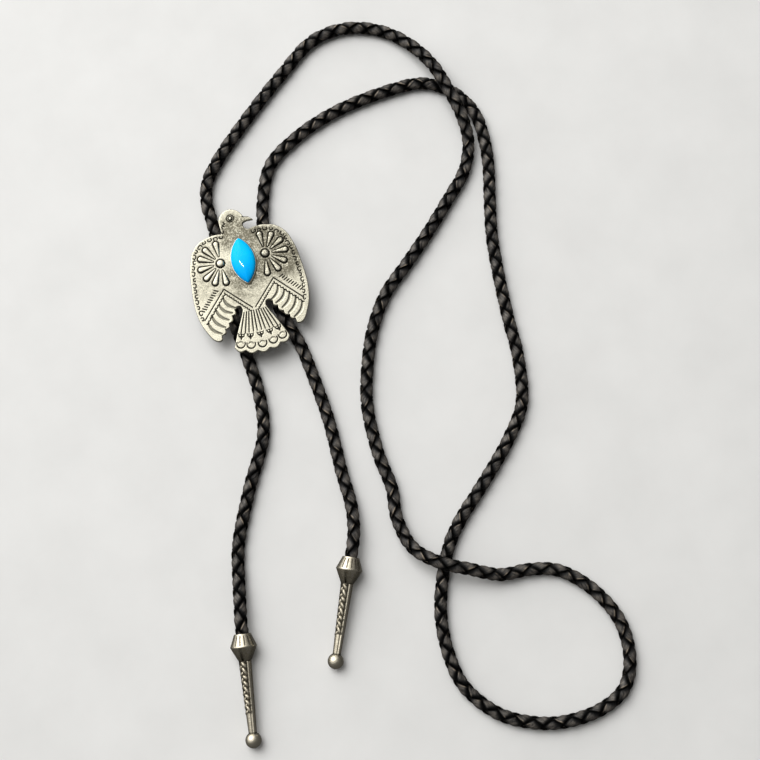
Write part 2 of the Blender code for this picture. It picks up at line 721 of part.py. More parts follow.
def make_tip(name, place, collection, relief, grooves, material):
    mouth = bpy.data.objects.new(name + "_mouth", None)
    mouth.matrix_world = tip_place(place)
    collection.objects.link(mouth)
    tip = turned_tip(name, collection)
    tip.parent = mouth
    flutes(name, mouth, grooves)
    ridge(name, mouth, relief)
    first = TIP_LENGTH * TIP_NECK_SHARE + LEAF_LENGTH / 2
    last = TIP_LENGTH * LEAF_END_SHARE
    for i in range(LEAF_COUNT):
        distance = between(first, last, i / (LEAF_COUNT - 1))
        leaf(f"{name}_leaf_{i + 1}", distance, LEAF_TURN, mouth, relief)
    return finish_part(tip, material)


def cord_stretches():
    """The route in stretches, which meet at the tips' mouths and at the channels' ends."""
    level = CLASP_HEIGHT / 2
    half = CLASP_LENGTH / 2 + CLASP_RUN_OUT
    left = tip_place(TIP_PLACES["tip_left"])
    right = tip_place(TIP_PLACES["tip_right"])
    in_socket = Vector((0, 0, SEAT_GAP - SOCKET_DEPTH))
    out_of_mouth = Vector((0, 0, CORD_DIAMETER))
    channels = {}
    for name, side in (("left channel", -1), ("right channel", 1)):
        ends = (side * half, -side * half)
        channels[name] = [Vector((side * CHANNEL_SPREAD / 2, CLASP_FORWARD + end, level)) for end in ends]
    points = [left @ in_socket, left.translation, left @ out_of_mouth]
    joints = [0, 1]
    for row in ROUTE:
        if row in channels:
            joints += [len(points), len(points) + 1]
            points += channels[row]
        else:
            x, y, lift = row
            points.append(Vector((x, y, lift + CORD_RADIUS)))
    points += [right @ out_of_mouth, right.translation, right @ in_socket]
    joints += [len(points) - 2, len(points) - 1]
    fine = [Vector((point.x, point.y, max(point.z, CORD_RADIUS))) for point in smooth(points, ROUTE_STEPS)]
    return [fine[start * ROUTE_STEPS:end * ROUTE_STEPS + 1] for start, end in zip(joints, joints[1:])]


def make_cord(collection, material):
    points = []
    for stretch in cord_stretches():
        points += evenly_spaced(stretch, CORD_POINT_SPACING)[:-1]
    points.append(stretch[-1])
    cord = mesh_from_curve(rod("cord", points, CORD_RADIUS, CORD_RESOLUTION, collection), collection)
    return finish_part(cord, material, sharp_angle=CORD_SHARP_ANGLE)


def carve(part, relief, grooves):
    """Joins the raised pieces to a part and cuts its grooves."""
    for name, operation, operands in (("relief", "UNION", relief), ("grooves", "DIFFERENCE", grooves)):
        modifier = part.modifiers.new(name, "BOOLEAN")
        modifier.operation = operation
        modifier.operand_type = "COLLECTION"
        modifier.collection = operands
        modifier.solver = "EXACT"


def build():
    clear_scene()
    parts = new_collection("bolo_tie")
    cutters = new_collection("cutters")
    tools = {}
    for name in ("medallion", *TIP_PLACES):
        tools[name] = [bpy.data.collections.new(f"{name}_{kind}") for kind in ("relief", "grooves")]
        for child in tools[name]:
            cutters.children.link(child)
    silver = new_material("antiqued silver", (0.63, 0.58, 0.49), 0.35, 1.0)
    stone = new_material("turquoise stone", (0.0, 0.36, 0.78), 0.12, 0.0)
    nickel = new_material("plain nickel", (0.55, 0.54, 0.51), 0.35, 1.0)
    leather = new_material("black leather", (0.02, 0.019, 0.018), 0.5, 0.0)
    carved = {"medallion": make_medallion(parts, *tools["medallion"], silver)}
    for name, place in TIP_PLACES.items():
        carved[name] = make_tip(name, place, parts, *tools[name], silver)
    make_cabochon(parts, stone)
    make_clasp(parts, nickel)
    make_cord(parts, leather)
    for name, part in carved.items():
        carve(part, *tools[name])


build()
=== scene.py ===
# %% [markdown]
# # A bolo tie in Blender
# A bolo tie is a braided leather cord, a slide that holds its two runs together, and a metal
# tip on each end. This one has a stamped bird with a blue stone on its slide. The tie lies on
# a table and is seen from above.
#
# The solids of the tie are already packed, so the first step loads them. They give every size
# and place here, and each fine piece below takes the place of one of them.

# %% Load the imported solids
from math import acos, atan2, cos, degrees, hypot, pi, radians, sin

import bpy
import numpy as np
from mathutils import Matrix, Vector
from mathutils.geometry import delaunay_2d_cdt


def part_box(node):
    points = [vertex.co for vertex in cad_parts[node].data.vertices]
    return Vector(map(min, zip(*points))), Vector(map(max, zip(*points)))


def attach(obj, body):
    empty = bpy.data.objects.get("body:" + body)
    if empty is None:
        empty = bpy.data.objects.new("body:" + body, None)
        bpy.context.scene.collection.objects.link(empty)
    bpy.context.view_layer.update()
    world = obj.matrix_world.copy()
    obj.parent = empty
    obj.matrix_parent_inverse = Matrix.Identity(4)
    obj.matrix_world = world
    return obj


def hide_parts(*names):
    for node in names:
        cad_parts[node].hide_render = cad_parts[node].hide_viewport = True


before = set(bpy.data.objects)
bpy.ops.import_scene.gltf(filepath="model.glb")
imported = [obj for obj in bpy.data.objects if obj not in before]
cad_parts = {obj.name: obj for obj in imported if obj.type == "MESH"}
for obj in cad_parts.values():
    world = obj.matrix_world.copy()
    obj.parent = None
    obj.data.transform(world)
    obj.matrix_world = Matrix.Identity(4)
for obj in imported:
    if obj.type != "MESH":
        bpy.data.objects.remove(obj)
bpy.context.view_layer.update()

MM = 0.001
print("packed solids:", ", ".join(sorted(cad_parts)))

# %% [markdown]
# ## The camera
# The tie was seen from almost straight above, turned a little to the left. A camera is placed
# by a point that it looks at, a direction and a distance. That is easier to adjust than a
# location and three angles, because each value has one meaning.

# %% Place the camera
CAMERA_AIM = Vector((37.4 * MM, -45.1 * MM, 0.0))
CAMERA_TURN = radians(-13.8)
CAMERA_HEIGHT = radians(79)
CAMERA_DISTANCE = 0.5
CAMERA_LENS = 66.3


def direction(turn, height):
    """The way from the middle of the scene to something at that turn and height."""
    return Vector((sin(turn) * cos(height), -cos(turn) * cos(height), sin(height)))


def place_camera():
    camera = bpy.data.objects.new("camera", bpy.data.cameras.new("camera"))
    back = direction(CAMERA_TURN, CAMERA_HEIGHT)
    camera.location = CAMERA_AIM + back * CAMERA_DISTANCE
    camera.rotation_mode = "QUATERNION"
    camera.rotation_quaternion = (-back).to_track_quat("-Z", "Y")
    camera.data.lens = CAMERA_LENS
    bpy.context.scene.collection.objects.link(camera)
    bpy.context.scene.camera = camera
    return camera


camera = place_camera()
print("camera at", [round(value, 3) for value in camera.location])

# %% [markdown]
# ## The line that the cord follows
# A cord keeps its length and bends smoothly, so its middle line comes first. The points below
# are the few places that shape each bend. A Catmull-Rom curve passes through all of them, and
# its centripetal form never loops or overshoots where the points are close together.

# %% Smooth curves and even spacing


def smooth(points, steps):
    """A centripetal Catmull-Rom curve through the points."""
    points = [Vector(point) for point in points]
    ends = [points[0] * 2 - points[1], *points, points[-1] * 2 - points[-2]]
    knots = [0.0]
    for start, end in zip(ends, ends[1:]):
        knots.append(knots[-1] + (end - start).length ** 0.5)

    def blend(start, end, low, high, here):
        return start.lerp(end, (here - knots[low]) / (knots[high] - knots[low]))

    result = []
    for i in range(1, len(ends) - 2):
        for step in range(steps):
            here = knots[i] + (knots[i + 1] - knots[i]) * step / steps
            first = blend(ends[i - 1], ends[i], i - 1, i, here)
            second = blend(ends[i], ends[i + 1], i, i + 1, here)
            third = blend(ends[i + 1], ends[i + 2], i + 1, i + 2, here)
            early = blend(first, second, i - 1, i + 1, here)
            late = blend(second, third, i, i + 2, here)
            result.append(blend(early, late, i, i + 1, here))
    result.append(points[-1])
    return result


def reach_of(line):
    """How far along the line each of its points is."""
    return np.concatenate([[0.0], np.cumsum(np.linalg.norm(np.diff(line, axis=0), axis=1))])


def evenly_spaced(line, spacing):
    """Points at equal distances, about the given spacing, along a line of many points."""
    line = np.array(line, float)
    reach = reach_of(line)
    wanted = np.linspace(0.0, reach[-1], max(round(reach[-1] / spacing), 1) + 1)
    return np.stack([np.interp(wanted, reach, line[:, axis]) for axis in range(line.shape[1])], axis=1)


# %% [markdown]
# ## Where the tips lie
# Each cord end sits in the mouth of a cast tip, so the tips are placed before the cord. A tip
# rests on its rim and on its ball, which are not the same size, and so it dips a little
# towards the ball.

# %% Sizes and places of the tips
TIP_LENGTH = 38.4 * MM
TIP_RIM_DIAMETER = 9.1 * MM
TIP_BALL_DIAMETER = 5.5 * MM
TIP_RIM_AT = 0.107 * TIP_LENGTH
SOCKET_DEPTH = 5.2 * MM
TIP_PLACES = {
    "tip_left": {"x": -29.6 * MM, "y": -120.6 * MM, "heading": radians(6.9)},
    "tip_right": {"x": 12.6 * MM, "y": -104.1 * MM, "heading": radians(22.1)},
}


def tip_slope():
    """How far a tip dips when its rim and its ball both touch the table."""
    rim_to_ball = TIP_LENGTH - TIP_RIM_AT - TIP_BALL_DIAMETER / 2
    reach = hypot(TIP_RIM_DIAMETER / 2, rim_to_ball)
    return acos(TIP_BALL_DIAMETER / 2 / reach) - atan2(rim_to_ball, TIP_RIM_DIAMETER / 2)


def tip_place(place):
    """The matrix of a tip's mouth: its Z axis points back along the cord, and its X axis up."""
    slope = tip_slope()
    height = TIP_RIM_DIAMETER / 2 * cos(slope) + TIP_RIM_AT * sin(slope)
    heading = place["heading"]
    back = Vector((sin(heading) * cos(slope), cos(heading) * cos(slope), sin(slope)))
    right = Vector((cos(heading), -sin(heading), 0))
    turned = Matrix((right.cross(back), right, back)).transposed().to_4x4()
    return Matrix.Translation((place["x"], place["y"], height)) @ turned


print("tips dip by", round(degrees(tip_slope()), 2), "degrees")

# %% [markdown]
# ## The cord's route
# From the left tip the cord runs up through the slide, round the large loop, over itself near
# the top right, round the lower loop and back through the slide to the right tip. Each row is
# a point of the middle line on the floor plan, in millimetres. A third number says how far the
# cord's underside is lifted there. Where the cord passes over itself the lift rises and falls
# slowly, because leather braid is too stiff for a sharp hump.

# %% The route
ROUTE = [
    (-28.3, -111.5, 2.2), (-27.0, -103.0, 0.8), (-24.5, -90.9), (-16.4, -72.4), (-7.3, -54.6),
    (-5.6, -40.5), (-6.6, -27.0), (-8.0, -15.5, 0.7),
    "left channel",
    (-8.0, 17.5, 0.8), (-8.0, 25.5), (-8.4, 33.0), (-6.6, 40.5), (-1.0, 48.1), (13.0, 61.5),
    (29.2, 75.2), (43.4, 85.5), (56.5, 87.5), (69.6, 83.1), (78.3, 74.8, 1.6), (84.2, 63.7, 4.4),
    (87.5, 51.9, 5.2), (89.6, 42.5, 4.4), (89.9, 33.0, 1.6), (86.0, 23.2), (77.1, 13.4), (67.3, 3.4),
    (57.3, -5.9), (46.7, -15.5), (39.1, -27.2), (34.4, -38.9), (30.8, -52.8), (30.4, -70.7),
    (32.1, -84.0), (31.3, -94.5, 0.4), (34.1, -106.0, 3.0), (41.8, -113.3, 5.2), (51.0, -117.8, 4.2),
    (61.5, -122.2, 1.2), (71.4, -122.8, 0.4), (80.9, -125.3), (90.9, -134.3), (97.4, -147.6),
    (97.0, -161.0), (92.4, -169.6), (83.5, -174.1), (70.9, -175.3), (60.8, -173.4), (48.9, -167.3),
    (39.9, -156.0), (37.4, -145.0), (37.9, -131.2), (41.6, -118.7), (46.9, -107.8), (52.8, -100.3),
    (61.1, -92.4), (70.7, -83.0), (76.7, -76.4), (84.1, -65.6), (87.2, -48.1), (87.3, -35.2),
    (88.1, -17.6), (89.4, -3.6), (92.1, 9.8), (95.0, 23.0), (96.0, 32.8), (95.3, 43.1), (91.2, 51.3),
    (85.3, 56.7), (78.4, 59.7), (69.8, 60.0), (52.7, 58.0), (41.7, 55.3), (29.7, 50.4), (17.6, 42.1),
    (11.8, 29.6), (9.4, 19.0, 0.7),
    "right channel",
    (9.5, -16.2, 0.7), (12.6, -25.8), (14.5, -38.1), (16.2, -54.9), (16.4, -75.1), (16.9, -86.0, 0.8),
    (15.9, -94.5, 2.1),
]
CORD_DIAMETER = 4.5 * MM
CORD_END_GAP = 0.3 * MM
CHANNEL_X = 8.2 * MM
CHANNEL_RUN_OUT = 2.0 * MM
ROUTE_STEPS = 12
BRAID_ROW = 0.55 * MM


def channel_ends(side):
    """The two points where the cord is straight before and after the slide."""
    low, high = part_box("cord_slide")
    level = (low.z + high.z) / 2
    ends = [low.y - CHANNEL_RUN_OUT, high.y + CHANNEL_RUN_OUT]
    if side > 0:
        ends.reverse()
    return [Vector((side * CHANNEL_X, end, level)) for end in ends]


def cord_line():
    """The middle line of the whole cord, from the left tip's socket to the right tip's."""
    radius = CORD_DIAMETER / 2
    left = tip_place(TIP_PLACES["tip_left"])
    right = tip_place(TIP_PLACES["tip_right"])
    in_socket = Vector((0, 0, CORD_END_GAP - SOCKET_DEPTH))
    out_of_mouth = Vector((0, 0, CORD_DIAMETER))
    points = [left @ in_socket, left.translation, left @ out_of_mouth]
    for row in ROUTE:
        if row == "left channel":
            points += channel_ends(-1)
        elif row == "right channel":
            points += channel_ends(1)
        else:
            x, y, *lift = row
            points.append(Vector((x * MM, y * MM, sum(lift) * MM + radius)))
    points += [right @ out_of_mouth, right.translation, right @ in_socket]
    line = np.array(smooth(points, ROUTE_STEPS))
    line[:, 2] = np.maximum(line[:, 2], radius)
    return evenly_spaced(line, BRAID_ROW)


line = cord_line()

# %% [markdown]
# ## Four strands, braided round
# The cord is four flat leather laces. Two wind one way round the middle line and two wind the
# other way, and each passes over one lace and under the next. A tube with a braid pattern in
# its material would stay smooth at its edge, so the laces are built as real strips. Their
# height follows one rule: at any place, the lace of one direction is up where the laces of
# the other direction are down. A lace also lingers where it is on top, which makes the shapes
# that show longer along the cord than across it.

# %% Build the braid
BRAID_PITCH = 13.2 * MM
# Which way each lace winds, and where it starts round the cord
LACES = [(1, 0.0), (1, pi), (-1, 0.0), (-1, pi)]
LACE_WIDTH = 3.6 * MM
LACE_THICKNESS = 1.0 * MM
LACE_SWING = 0.50 * MM
LACE_CREST = 0.12 * MM
LACE_MIDDLE = CORD_DIAMETER / 2 + LACE_CREST - LACE_SWING - LACE_THICKNESS / 2
LACE_ROUND = 1.7 * MM
LACE_FLATNESS = 2.2
LACE_LINGER = 0.42
CORE_RADIUS = 0.8 * MM
CORE_SIDES = 6
CORE_SKIP = 4
# A laid cord rolls a little: how far each slow roll goes, over what length, and its start
FIRST_ROLL = pi / 4
SLOW_ROLLS = [(0.15, 41 * MM, 0.6), (0.09, 23 * MM, 0.0)]
# The section of a lace, across and up, as shares of half its width and half its thickness
LACE_SECTION = [(-1.0, 0.1), (-0.94, 0.72), (-0.7, 0.95), (0.0, 1.0), (0.7, 0.95), (0.94, 0.72),
                (1.0, 0.1), (0.75, -1.0), (0.0, -1.0), (-0.75, -1.0)]


def line_axes(line):
    """For each row of the line: the way along it, the way to its side and the way up from it."""
    along = np.gradient(line, axis=0)
    along /= np.linalg.norm(along, axis=1)[:, None]
    side = np.cross(along, (0.0, 0.0, 1.0))
    side /= np.linalg.norm(side, axis=1)[:, None]
    return along, side, np.cross(side, along)


def slow_turn(reach):
    """How far the braid's pattern has rolled round the cord, at each distance along it."""
    return FIRST_ROLL + sum(swing * np.sin(reach / length + start) for swing, length, start in SLOW_ROLLS)


def lace_points(line, winding, phase):
    """The surface points of one lace, and how high each is: 1 on top, -1 beneath."""
    reach = reach_of(line)
    along, side, up = line_axes(line)
    pace = 2 * pi / BRAID_PITCH
    sign = winding * cos(phase)
    across, thick = np.array(LACE_SECTION).T * [[LACE_WIDTH / 2], [LACE_THICKNESS / 2]]
    wound = winding * pace * reach[:, None]
    middle_high = sign * np.cos(phase + 2 * wound)
    slant = np.arctan(LACE_ROUND * pace * (1 - LACE_LINGER * middle_high))
    shift = -winding * across * np.sin(slant)
    angle = phase + wound + across * np.cos(slant) / LACE_ROUND
    high = sign * np.cos(angle + wound + winding * pace * shift)
    height = np.tanh(LACE_FLATNESS * high) / np.tanh(LACE_FLATNESS)
    radius = LACE_MIDDLE + LACE_SWING * height + thick
    linger = -0.5 * LACE_LINGER * sign * np.sin(phase + 2 * wound)
    turned = angle + linger + slow_turn(reach)[:, None]
    points = (line[:, None] + along[:, None] * shift[..., None]
              + side[:, None] * (radius * np.sin(turned))[..., None]
              + up[:, None] * (radius * np.cos(turned))[..., None])
    return points, high


def tube_faces(rows, sides, start):
    """Quads between rows of points round a tube, with a cap on each end."""
    first = start + np.arange(rows - 1)[:, None] * sides + np.arange(sides)[None, :]
    beside = start + np.arange(rows - 1)[:, None] * sides + (np.arange(sides)[None, :] + 1) % sides
    quads = np.stack([first, beside, beside + sides, first + sides], axis=-1).reshape(-1, 4)
    last = start + (rows - 1) * sides
    caps = [list(range(start + sides - 1, start - 1, -1)), list(range(last, last + sides))]
    return quads.tolist() + caps


def add_values(mesh, name, values):
    """Stores one number for each point, which a material reads with an Attribute node."""
    attribute = mesh.attributes.new(name, "FLOAT", "POINT")
    attribute.data.foreach_set("value", np.ravel(values).astype(np.float32))


def new_piece(name, points, faces, smooth_shading=True):
    mesh = bpy.data.meshes.new(name)
    mesh.from_pydata(np.asarray(points).reshape(-1, 3).tolist(), [], faces)
    mesh.update()
    if smooth_shading:
        mesh.shade_smooth()
    piece = bpy.data.objects.new(name, mesh)
    bpy.context.scene.collection.objects.link(piece)
    return piece


def make_cord(line):
    """Four laces round a plain core, with the values that the leather's material reads."""
    points, faces = [], []
    values = {"lift": [], "across": [], "lace": [], "along": []}

    def add_tube(shell, **rows):
        faces.extend(tube_faces(*shell.shape[:2], sum(len(tube) for tube in points)))
        points.append(shell.reshape(-1, 3))
        for name, value in rows.items():
            values[name].append(np.broadcast_to(value, shell.shape[:2]).ravel())

    reach = reach_of(line)[:, None]
    across = [row[0] for row in LACE_SECTION]
    for number, (winding, phase) in enumerate(LACES):
        shell, height = lace_points(line + (0, 0, LACE_CREST), winding, phase)
        add_tube(shell, lift=height, across=across, lace=number, along=reach)
    core = line[::CORE_SKIP]
    _, side, up = line_axes(core)
    turns = np.arange(CORE_SIDES) * 2 * pi / CORE_SIDES
    ring = side[:, None] * np.sin(turns)[:, None] + up[:, None] * np.cos(turns)[:, None]
    # The core shows only through the gaps, and its lift of -1 gives it the painted near-black shade of the
    # gaps.
    add_tube(core[:, None] + ring * CORE_RADIUS, lift=-1.0, across=0.0, lace=len(LACES),
             along=reach[::CORE_SKIP])
    cord = new_piece("braided_cord", np.concatenate(points), faces)
    for name, tubes in values.items():
        add_values(cord.data, name, np.concatenate(tubes))
    return cord


cord = make_cord(line)
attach(cord, "root")
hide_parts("cord")
print("braid:", len(cord.data.polygons), "faces")


# %% [markdown]
# ## The bird's outline
# The slide's plate was sawn from sheet along a drawn outline. Most of it is smooth curves with
# a few corners, and the wing ends and the tail are scalloped. The points are shares of half
# the wing span and of half the bird's length, so one table draws a bird of any size.

# %% Outline tables and the plate's sizes
HALF_SPAN = 20.5 * MM
HALF_LENGTH = 26.95 * MM
PLATE_THICKNESS = 1.6 * MM
PLATE_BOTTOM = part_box("medallion")[0].z
PLATE_TOP = PLATE_BOTTOM + PLATE_THICKNESS
SCALLOP_BULGE = 0.82 * MM
TAIL_BULGE = 1.05 * MM
OUTLINE_SPACING = 0.18 * MM
HEAD_BACK = [(-0.268, 0.703), (-0.268, 0.750), (-0.273, 0.818), (-0.263, 0.885), (-0.190, 0.967),
             (-0.098, 1.000), (-0.005, 0.996), (0.088, 0.959), (0.146, 0.905), (0.171, 0.863)]
BEAK = [(0.171, 0.863), (0.254, 0.848), (0.322, 0.796)]
THROAT = [(0.322, 0.796), (0.190, 0.796), (0.137, 0.774), (0.132, 0.729), (0.161, 0.696), (0.205, 0.677)]
# The left wing's edge begins at the back of the neck, this far across
NECK_CORNER = -0.272
WING_EDGE = [(0.205, 0.677), (0.341, 0.696), (0.439, 0.696), (0.551, 0.681), (0.663, 0.655),
             (0.780, 0.588), (0.859, 0.503), (0.902, 0.414), (0.951, 0.273), (0.980, 0.091),
             (1.000, -0.087), (1.000, -0.262), (0.961, -0.443), (0.888, -0.581), (0.805, -0.692),
             (0.732, -0.729), (0.668, -0.722), (0.649, -0.659)]
WING_NOTCHES = [(0.649, -0.659), (0.571, -0.588), (0.483, -0.525), (0.405, -0.436), (0.337, -0.362)]
SLOT = [(0.337, -0.362), (0.302, -0.335), (0.263, -0.328), (0.224, -0.340), (0.205, -0.391)]
TAIL_SIDE = [(0.205, -0.391), (0.239, -0.458), (0.346, -0.622), (0.439, -0.774), (0.485, -0.865)]
TAIL_NOTCHES = [(0.485, -0.865), (0.305, -0.930), (0.107, -0.966), (-0.107, -0.966)]


def on_bird(share, mirror=1):
    return np.array([mirror * share[0] * HALF_SPAN, share[1] * HALF_LENGTH])


def curve_of(shares, steps=12):
    flat = smooth([(*on_bird(share), 0.0) for share in shares], steps)
    return evenly_spaced(np.array(flat)[:, :2], OUTLINE_SPACING)


def bowed(start, end, bulge, count):
    """A low arc of so many points, which stands out to the left of the way from start to end."""
    way = end - start
    side = np.array([-way[1], way[0]]) / np.linalg.norm(way)
    share = np.linspace(0.0, 1.0, count)[:, None]
    return start + way * share + side * bulge * np.sin(pi * share)


def scallops(notches, bulge):
    """A low arc between each notch and the next one."""
    notches = [on_bird(notch) for notch in notches]
    return [evenly_spaced(bowed(*ends, bulge, 13), OUTLINE_SPACING) for ends in zip(notches, notches[1:])]


def bird_outline():
    """The closed outline, clockwise from the back of the neck."""
    right = [curve_of(WING_EDGE), *scallops(WING_NOTCHES, SCALLOP_BULGE), curve_of(SLOT),
             curve_of(TAIL_SIDE), *scallops(TAIL_NOTCHES[:3], TAIL_BULGE)]
    right = np.concatenate([run[:-1] for run in right])
    middle = scallops(TAIL_NOTCHES[2:], TAIL_BULGE)[0][:-1]
    left = right[:0:-1] * (-1, 1)
    left = left[(left[:, 0] < NECK_CORNER * HALF_SPAN) | (left[:, 1] < 0)]
    beak = evenly_spaced([on_bird(share) for share in BEAK], OUTLINE_SPACING)
    head = np.concatenate([curve_of(HEAD_BACK)[:-1], beak[:-1], curve_of(THROAT)[:-1]])
    return np.concatenate([head, right, middle, left])


outline = bird_outline()
print("outline:", len(outline), "points")

# %% [markdown]
# ## Stamp marks as heights
# A silversmith makes the pattern with steel stamps: each one pushes a mark into the sheet and
# leaves raised forms between the marks. The same idea works in Blender. The plate's top is a
# fine net of points, and each stamp lowers or raises the points near it. Boolean cuts would
# give hard edges, and a bump map would stay flat in a side view.

# %% Distances that the stamps need


def near_chain(places, chain, limit):
    """How far each place is from a chain of straight pieces, up to the limit, and how far along it."""
    chain = np.asarray(chain, float)
    gap = np.full(len(places), limit)
    along = np.zeros(len(places))
    for start, end, begun in zip(chain, chain[1:], reach_of(chain)):
        low = np.minimum(start, end) - limit
        high = np.maximum(start, end) + limit
        close = np.flatnonzero(((places > low) & (places < high)).all(axis=1))
        way = end - start
        length = max(np.linalg.norm(way), 1e-9)
        share = np.clip((places[close] - start) @ way / length ** 2, 0.0, 1.0)
        here = np.linalg.norm(places[close] - start - share[:, None] * way, axis=1)
        better = here < gap[close]
        gap[close[better]] = here[better]
        along[close[better]] = begun + share[better] * length
    return gap, along


def is_inside(places, outline):
    """For each place, whether an odd number of the outline's edges lies to its right."""
    inside = np.zeros(len(places), bool)
    for start, end in zip(outline, np.roll(outline, -1, axis=0)):
        low, high = sorted((start[1], end[1]))
        level = np.flatnonzero((places[:, 1] >= low) & (places[:, 1] < high))
        cross = start[0] + (places[level, 1] - start[1]) / (end[1] - start[1]) * (end[0] - start[0])
        inside[level] ^= places[level, 0] < cross
    return inside


def ease(share):
    """0 to 1 with a gentle start and end."""
    share = np.clip(share, 0.0, 1.0)
    return share * share * (3 - 2 * share)


def band(offset, half_width, steepness=1.0):
    """1 in the middle of a band, falling to 0 at its edges."""
    return ease(steepness * (1 - np.abs(offset) / half_width))


# %% What the stamps leave
# Each kind of line: half its width and its depth in millimetres, how dark it is, and how much
# its ends thin out
GROOVES = {
    "eye ring": (0.28, 0.15, 0.90, 0.00),
    "beak": (0.30, 0.20, 1.00, 0.40),
    "neck": (0.31, 0.16, 1.00, 0.10),
    "edge": (0.31, 0.18, 1.00, 0.15),
    "chevron": (0.30, 0.18, 1.00, 0.00),
    "wave": (0.29, 0.17, 1.00, 0.00),
    "feather": (0.72, 0.30, 0.55, 0.40),
    "stroke": (0.33, 0.20, 1.00, 0.10),
    "tail": (0.34, 0.22, 1.00, 0.20),
    "point": (0.36, 0.16, 0.75, 0.25),
    "stem": (0.42, 0.16, 1.00, 0.20),
    "moon": (0.36, 0.22, 1.00, 0.20),
    # The lid is a shallow arc; its darkness is painted shade inside the top of each half moon.
    "lid": (0.50, 0.14, 0.45, 0.60),
}
# Each kind of dome: its radius, its rise and the width of the dark ring round it, in millimetres
DOMES = {"rosette": (1.42, 0.62, 0.46), "eye": (0.62, 0.30, 0.30), "feather end": (0.34, 0.14, 0.22)}
DOME_PIT = 0.18 * MM
RAISED_EDGE = 0.16
RAISED_ROUNDNESS = 2.6


class StampedPlate:
    """The height, the tarnish and the need for fine points at each place of the plate's top."""

    def __init__(self, places):
        self.places = places
        self.height = np.zeros(len(places))
        self.dark = np.zeros(len(places))
        self.fine = np.zeros(len(places), bool)

    def groove(self, kind, chain):
        """A line pushed into the sheet. Taper 1 would make it thin out to nothing at both ends."""
        half_width, depth, tarnish, taper = GROOVES[kind]
        half_width *= MM
        gap, along = near_chain(self.places, chain, 2.4 * half_width)
        share = along / reach_of(np.asarray(chain, float))[-1]
        width = half_width * (1 - taper + taper * np.sin(pi * np.clip(share, 0.02, 0.98)))
        self.height -= depth * MM * band(gap, width)
        self.dark = np.maximum(self.dark, tarnish * band(gap, width, 1.5))
        self.fine |= gap < 2.2 * half_width

    def raised(self, depth_in, half_width, rise, moat, pit):
        """A raised form with a dark moat round it. depth_in is how far each place is inside it."""
        inside = np.clip(depth_in / half_width, 0.0, 1.0)
        outside = np.clip(-depth_in / moat, 0.0, 1.0)
        top = rise * np.sqrt(np.clip(1 - (1 - inside) ** RAISED_ROUNDNESS, 0.0, 1.0))
        ring = (depth_in < 0) & (outside < 1)
        cut = np.where(ring, pit * np.clip(1 - np.abs(2 * outside - 1), 0.0, 1.0), 0)
        self.height = np.where(depth_in > 0, np.maximum(self.height, top), self.height - cut)
        mark = ease(1.8 * (1 - outside)) * (outside < 1) * (inside < RAISED_EDGE)
        self.dark = np.where(depth_in > RAISED_EDGE * half_width, 0.0, np.maximum(self.dark, mark))
        self.fine |= (depth_in > -1.6 * moat) & (depth_in < 1.4 * half_width)

    def dome(self, kind, centre):
        radius, rise, moat = (size * MM for size in DOMES[kind])
        self.raised(radius - np.linalg.norm(self.places - centre, axis=1), radius, rise, moat, DOME_PIT)


# %% [markdown]
# ## The stamps of this bird
# Each rosette is seven teardrop petals round a small dome. The wings carry two chevron lines,
# a row of short strokes and five curved feather lines. The tail has ten straight lines, and
# each of its feathers ends in a pointed mark and a half moon. A row of curved marks follows
# the edge. Places that belong to the outline are shares of the bird's half sizes, as above, and
# the others are lengths on the plate.

# %% Petals and domes
ROSETTE_ACROSS = 8.15 * MM
ROSETTE_FORWARD = 7.95 * MM
PETAL_TURNS = {-1: (-1, -35, -64, -95, -125, -153, -184), 1: (-3, 30, 61, 92, 124, 153, 186)}
PETAL_INNER_END = 2.75 * MM
PETAL_INNER_RADIUS = 0.17 * MM
PETAL_OUTER_END = 7.35 * MM
PETAL_OUTER_RADIUS = 0.95 * MM
PETAL_RISE = 0.42 * MM
PETAL_MOAT = 0.26 * MM
PETAL_PIT = 0.20 * MM


def petal(plate, centre, turn):
    """A teardrop: everything inside two circles of unlike size and the straight lines round them."""
    out = np.array([sin(turn), cos(turn)])
    side = np.array([cos(turn), -sin(turn)])
    offset = plate.places - centre - out * PETAL_INNER_END
    x, y = np.abs(offset @ side), offset @ out
    length = PETAL_OUTER_END - PETAL_INNER_END
    lean = (PETAL_INNER_RADIUS - PETAL_OUTER_RADIUS) / length
    steep = (1 - lean ** 2) ** 0.5
    beside = y * steep - x * lean
    depth = np.where(beside < 0, PETAL_INNER_RADIUS - np.hypot(x, y),
                     np.where(beside > steep * length, PETAL_OUTER_RADIUS - np.hypot(x, y - length),
                              PETAL_INNER_RADIUS - x * steep - y * lean))
    share = np.clip(y / length, 0.0, 1.0)
    width = PETAL_INNER_RADIUS + (PETAL_OUTER_RADIUS - PETAL_INNER_RADIUS) * share
    rise = PETAL_RISE * (0.45 + 0.55 * share)
    plate.raised(depth, 0.75 * width, rise, PETAL_MOAT * (1 + share), PETAL_PIT)


def rosettes(plate):
    for mirror, turns in PETAL_TURNS.items():
        centre = np.array([mirror * ROSETTE_ACROSS, ROSETTE_FORWARD])
        for turn in turns:
            petal(plate, centre, radians(turn))
        plate.dome("rosette", centre)


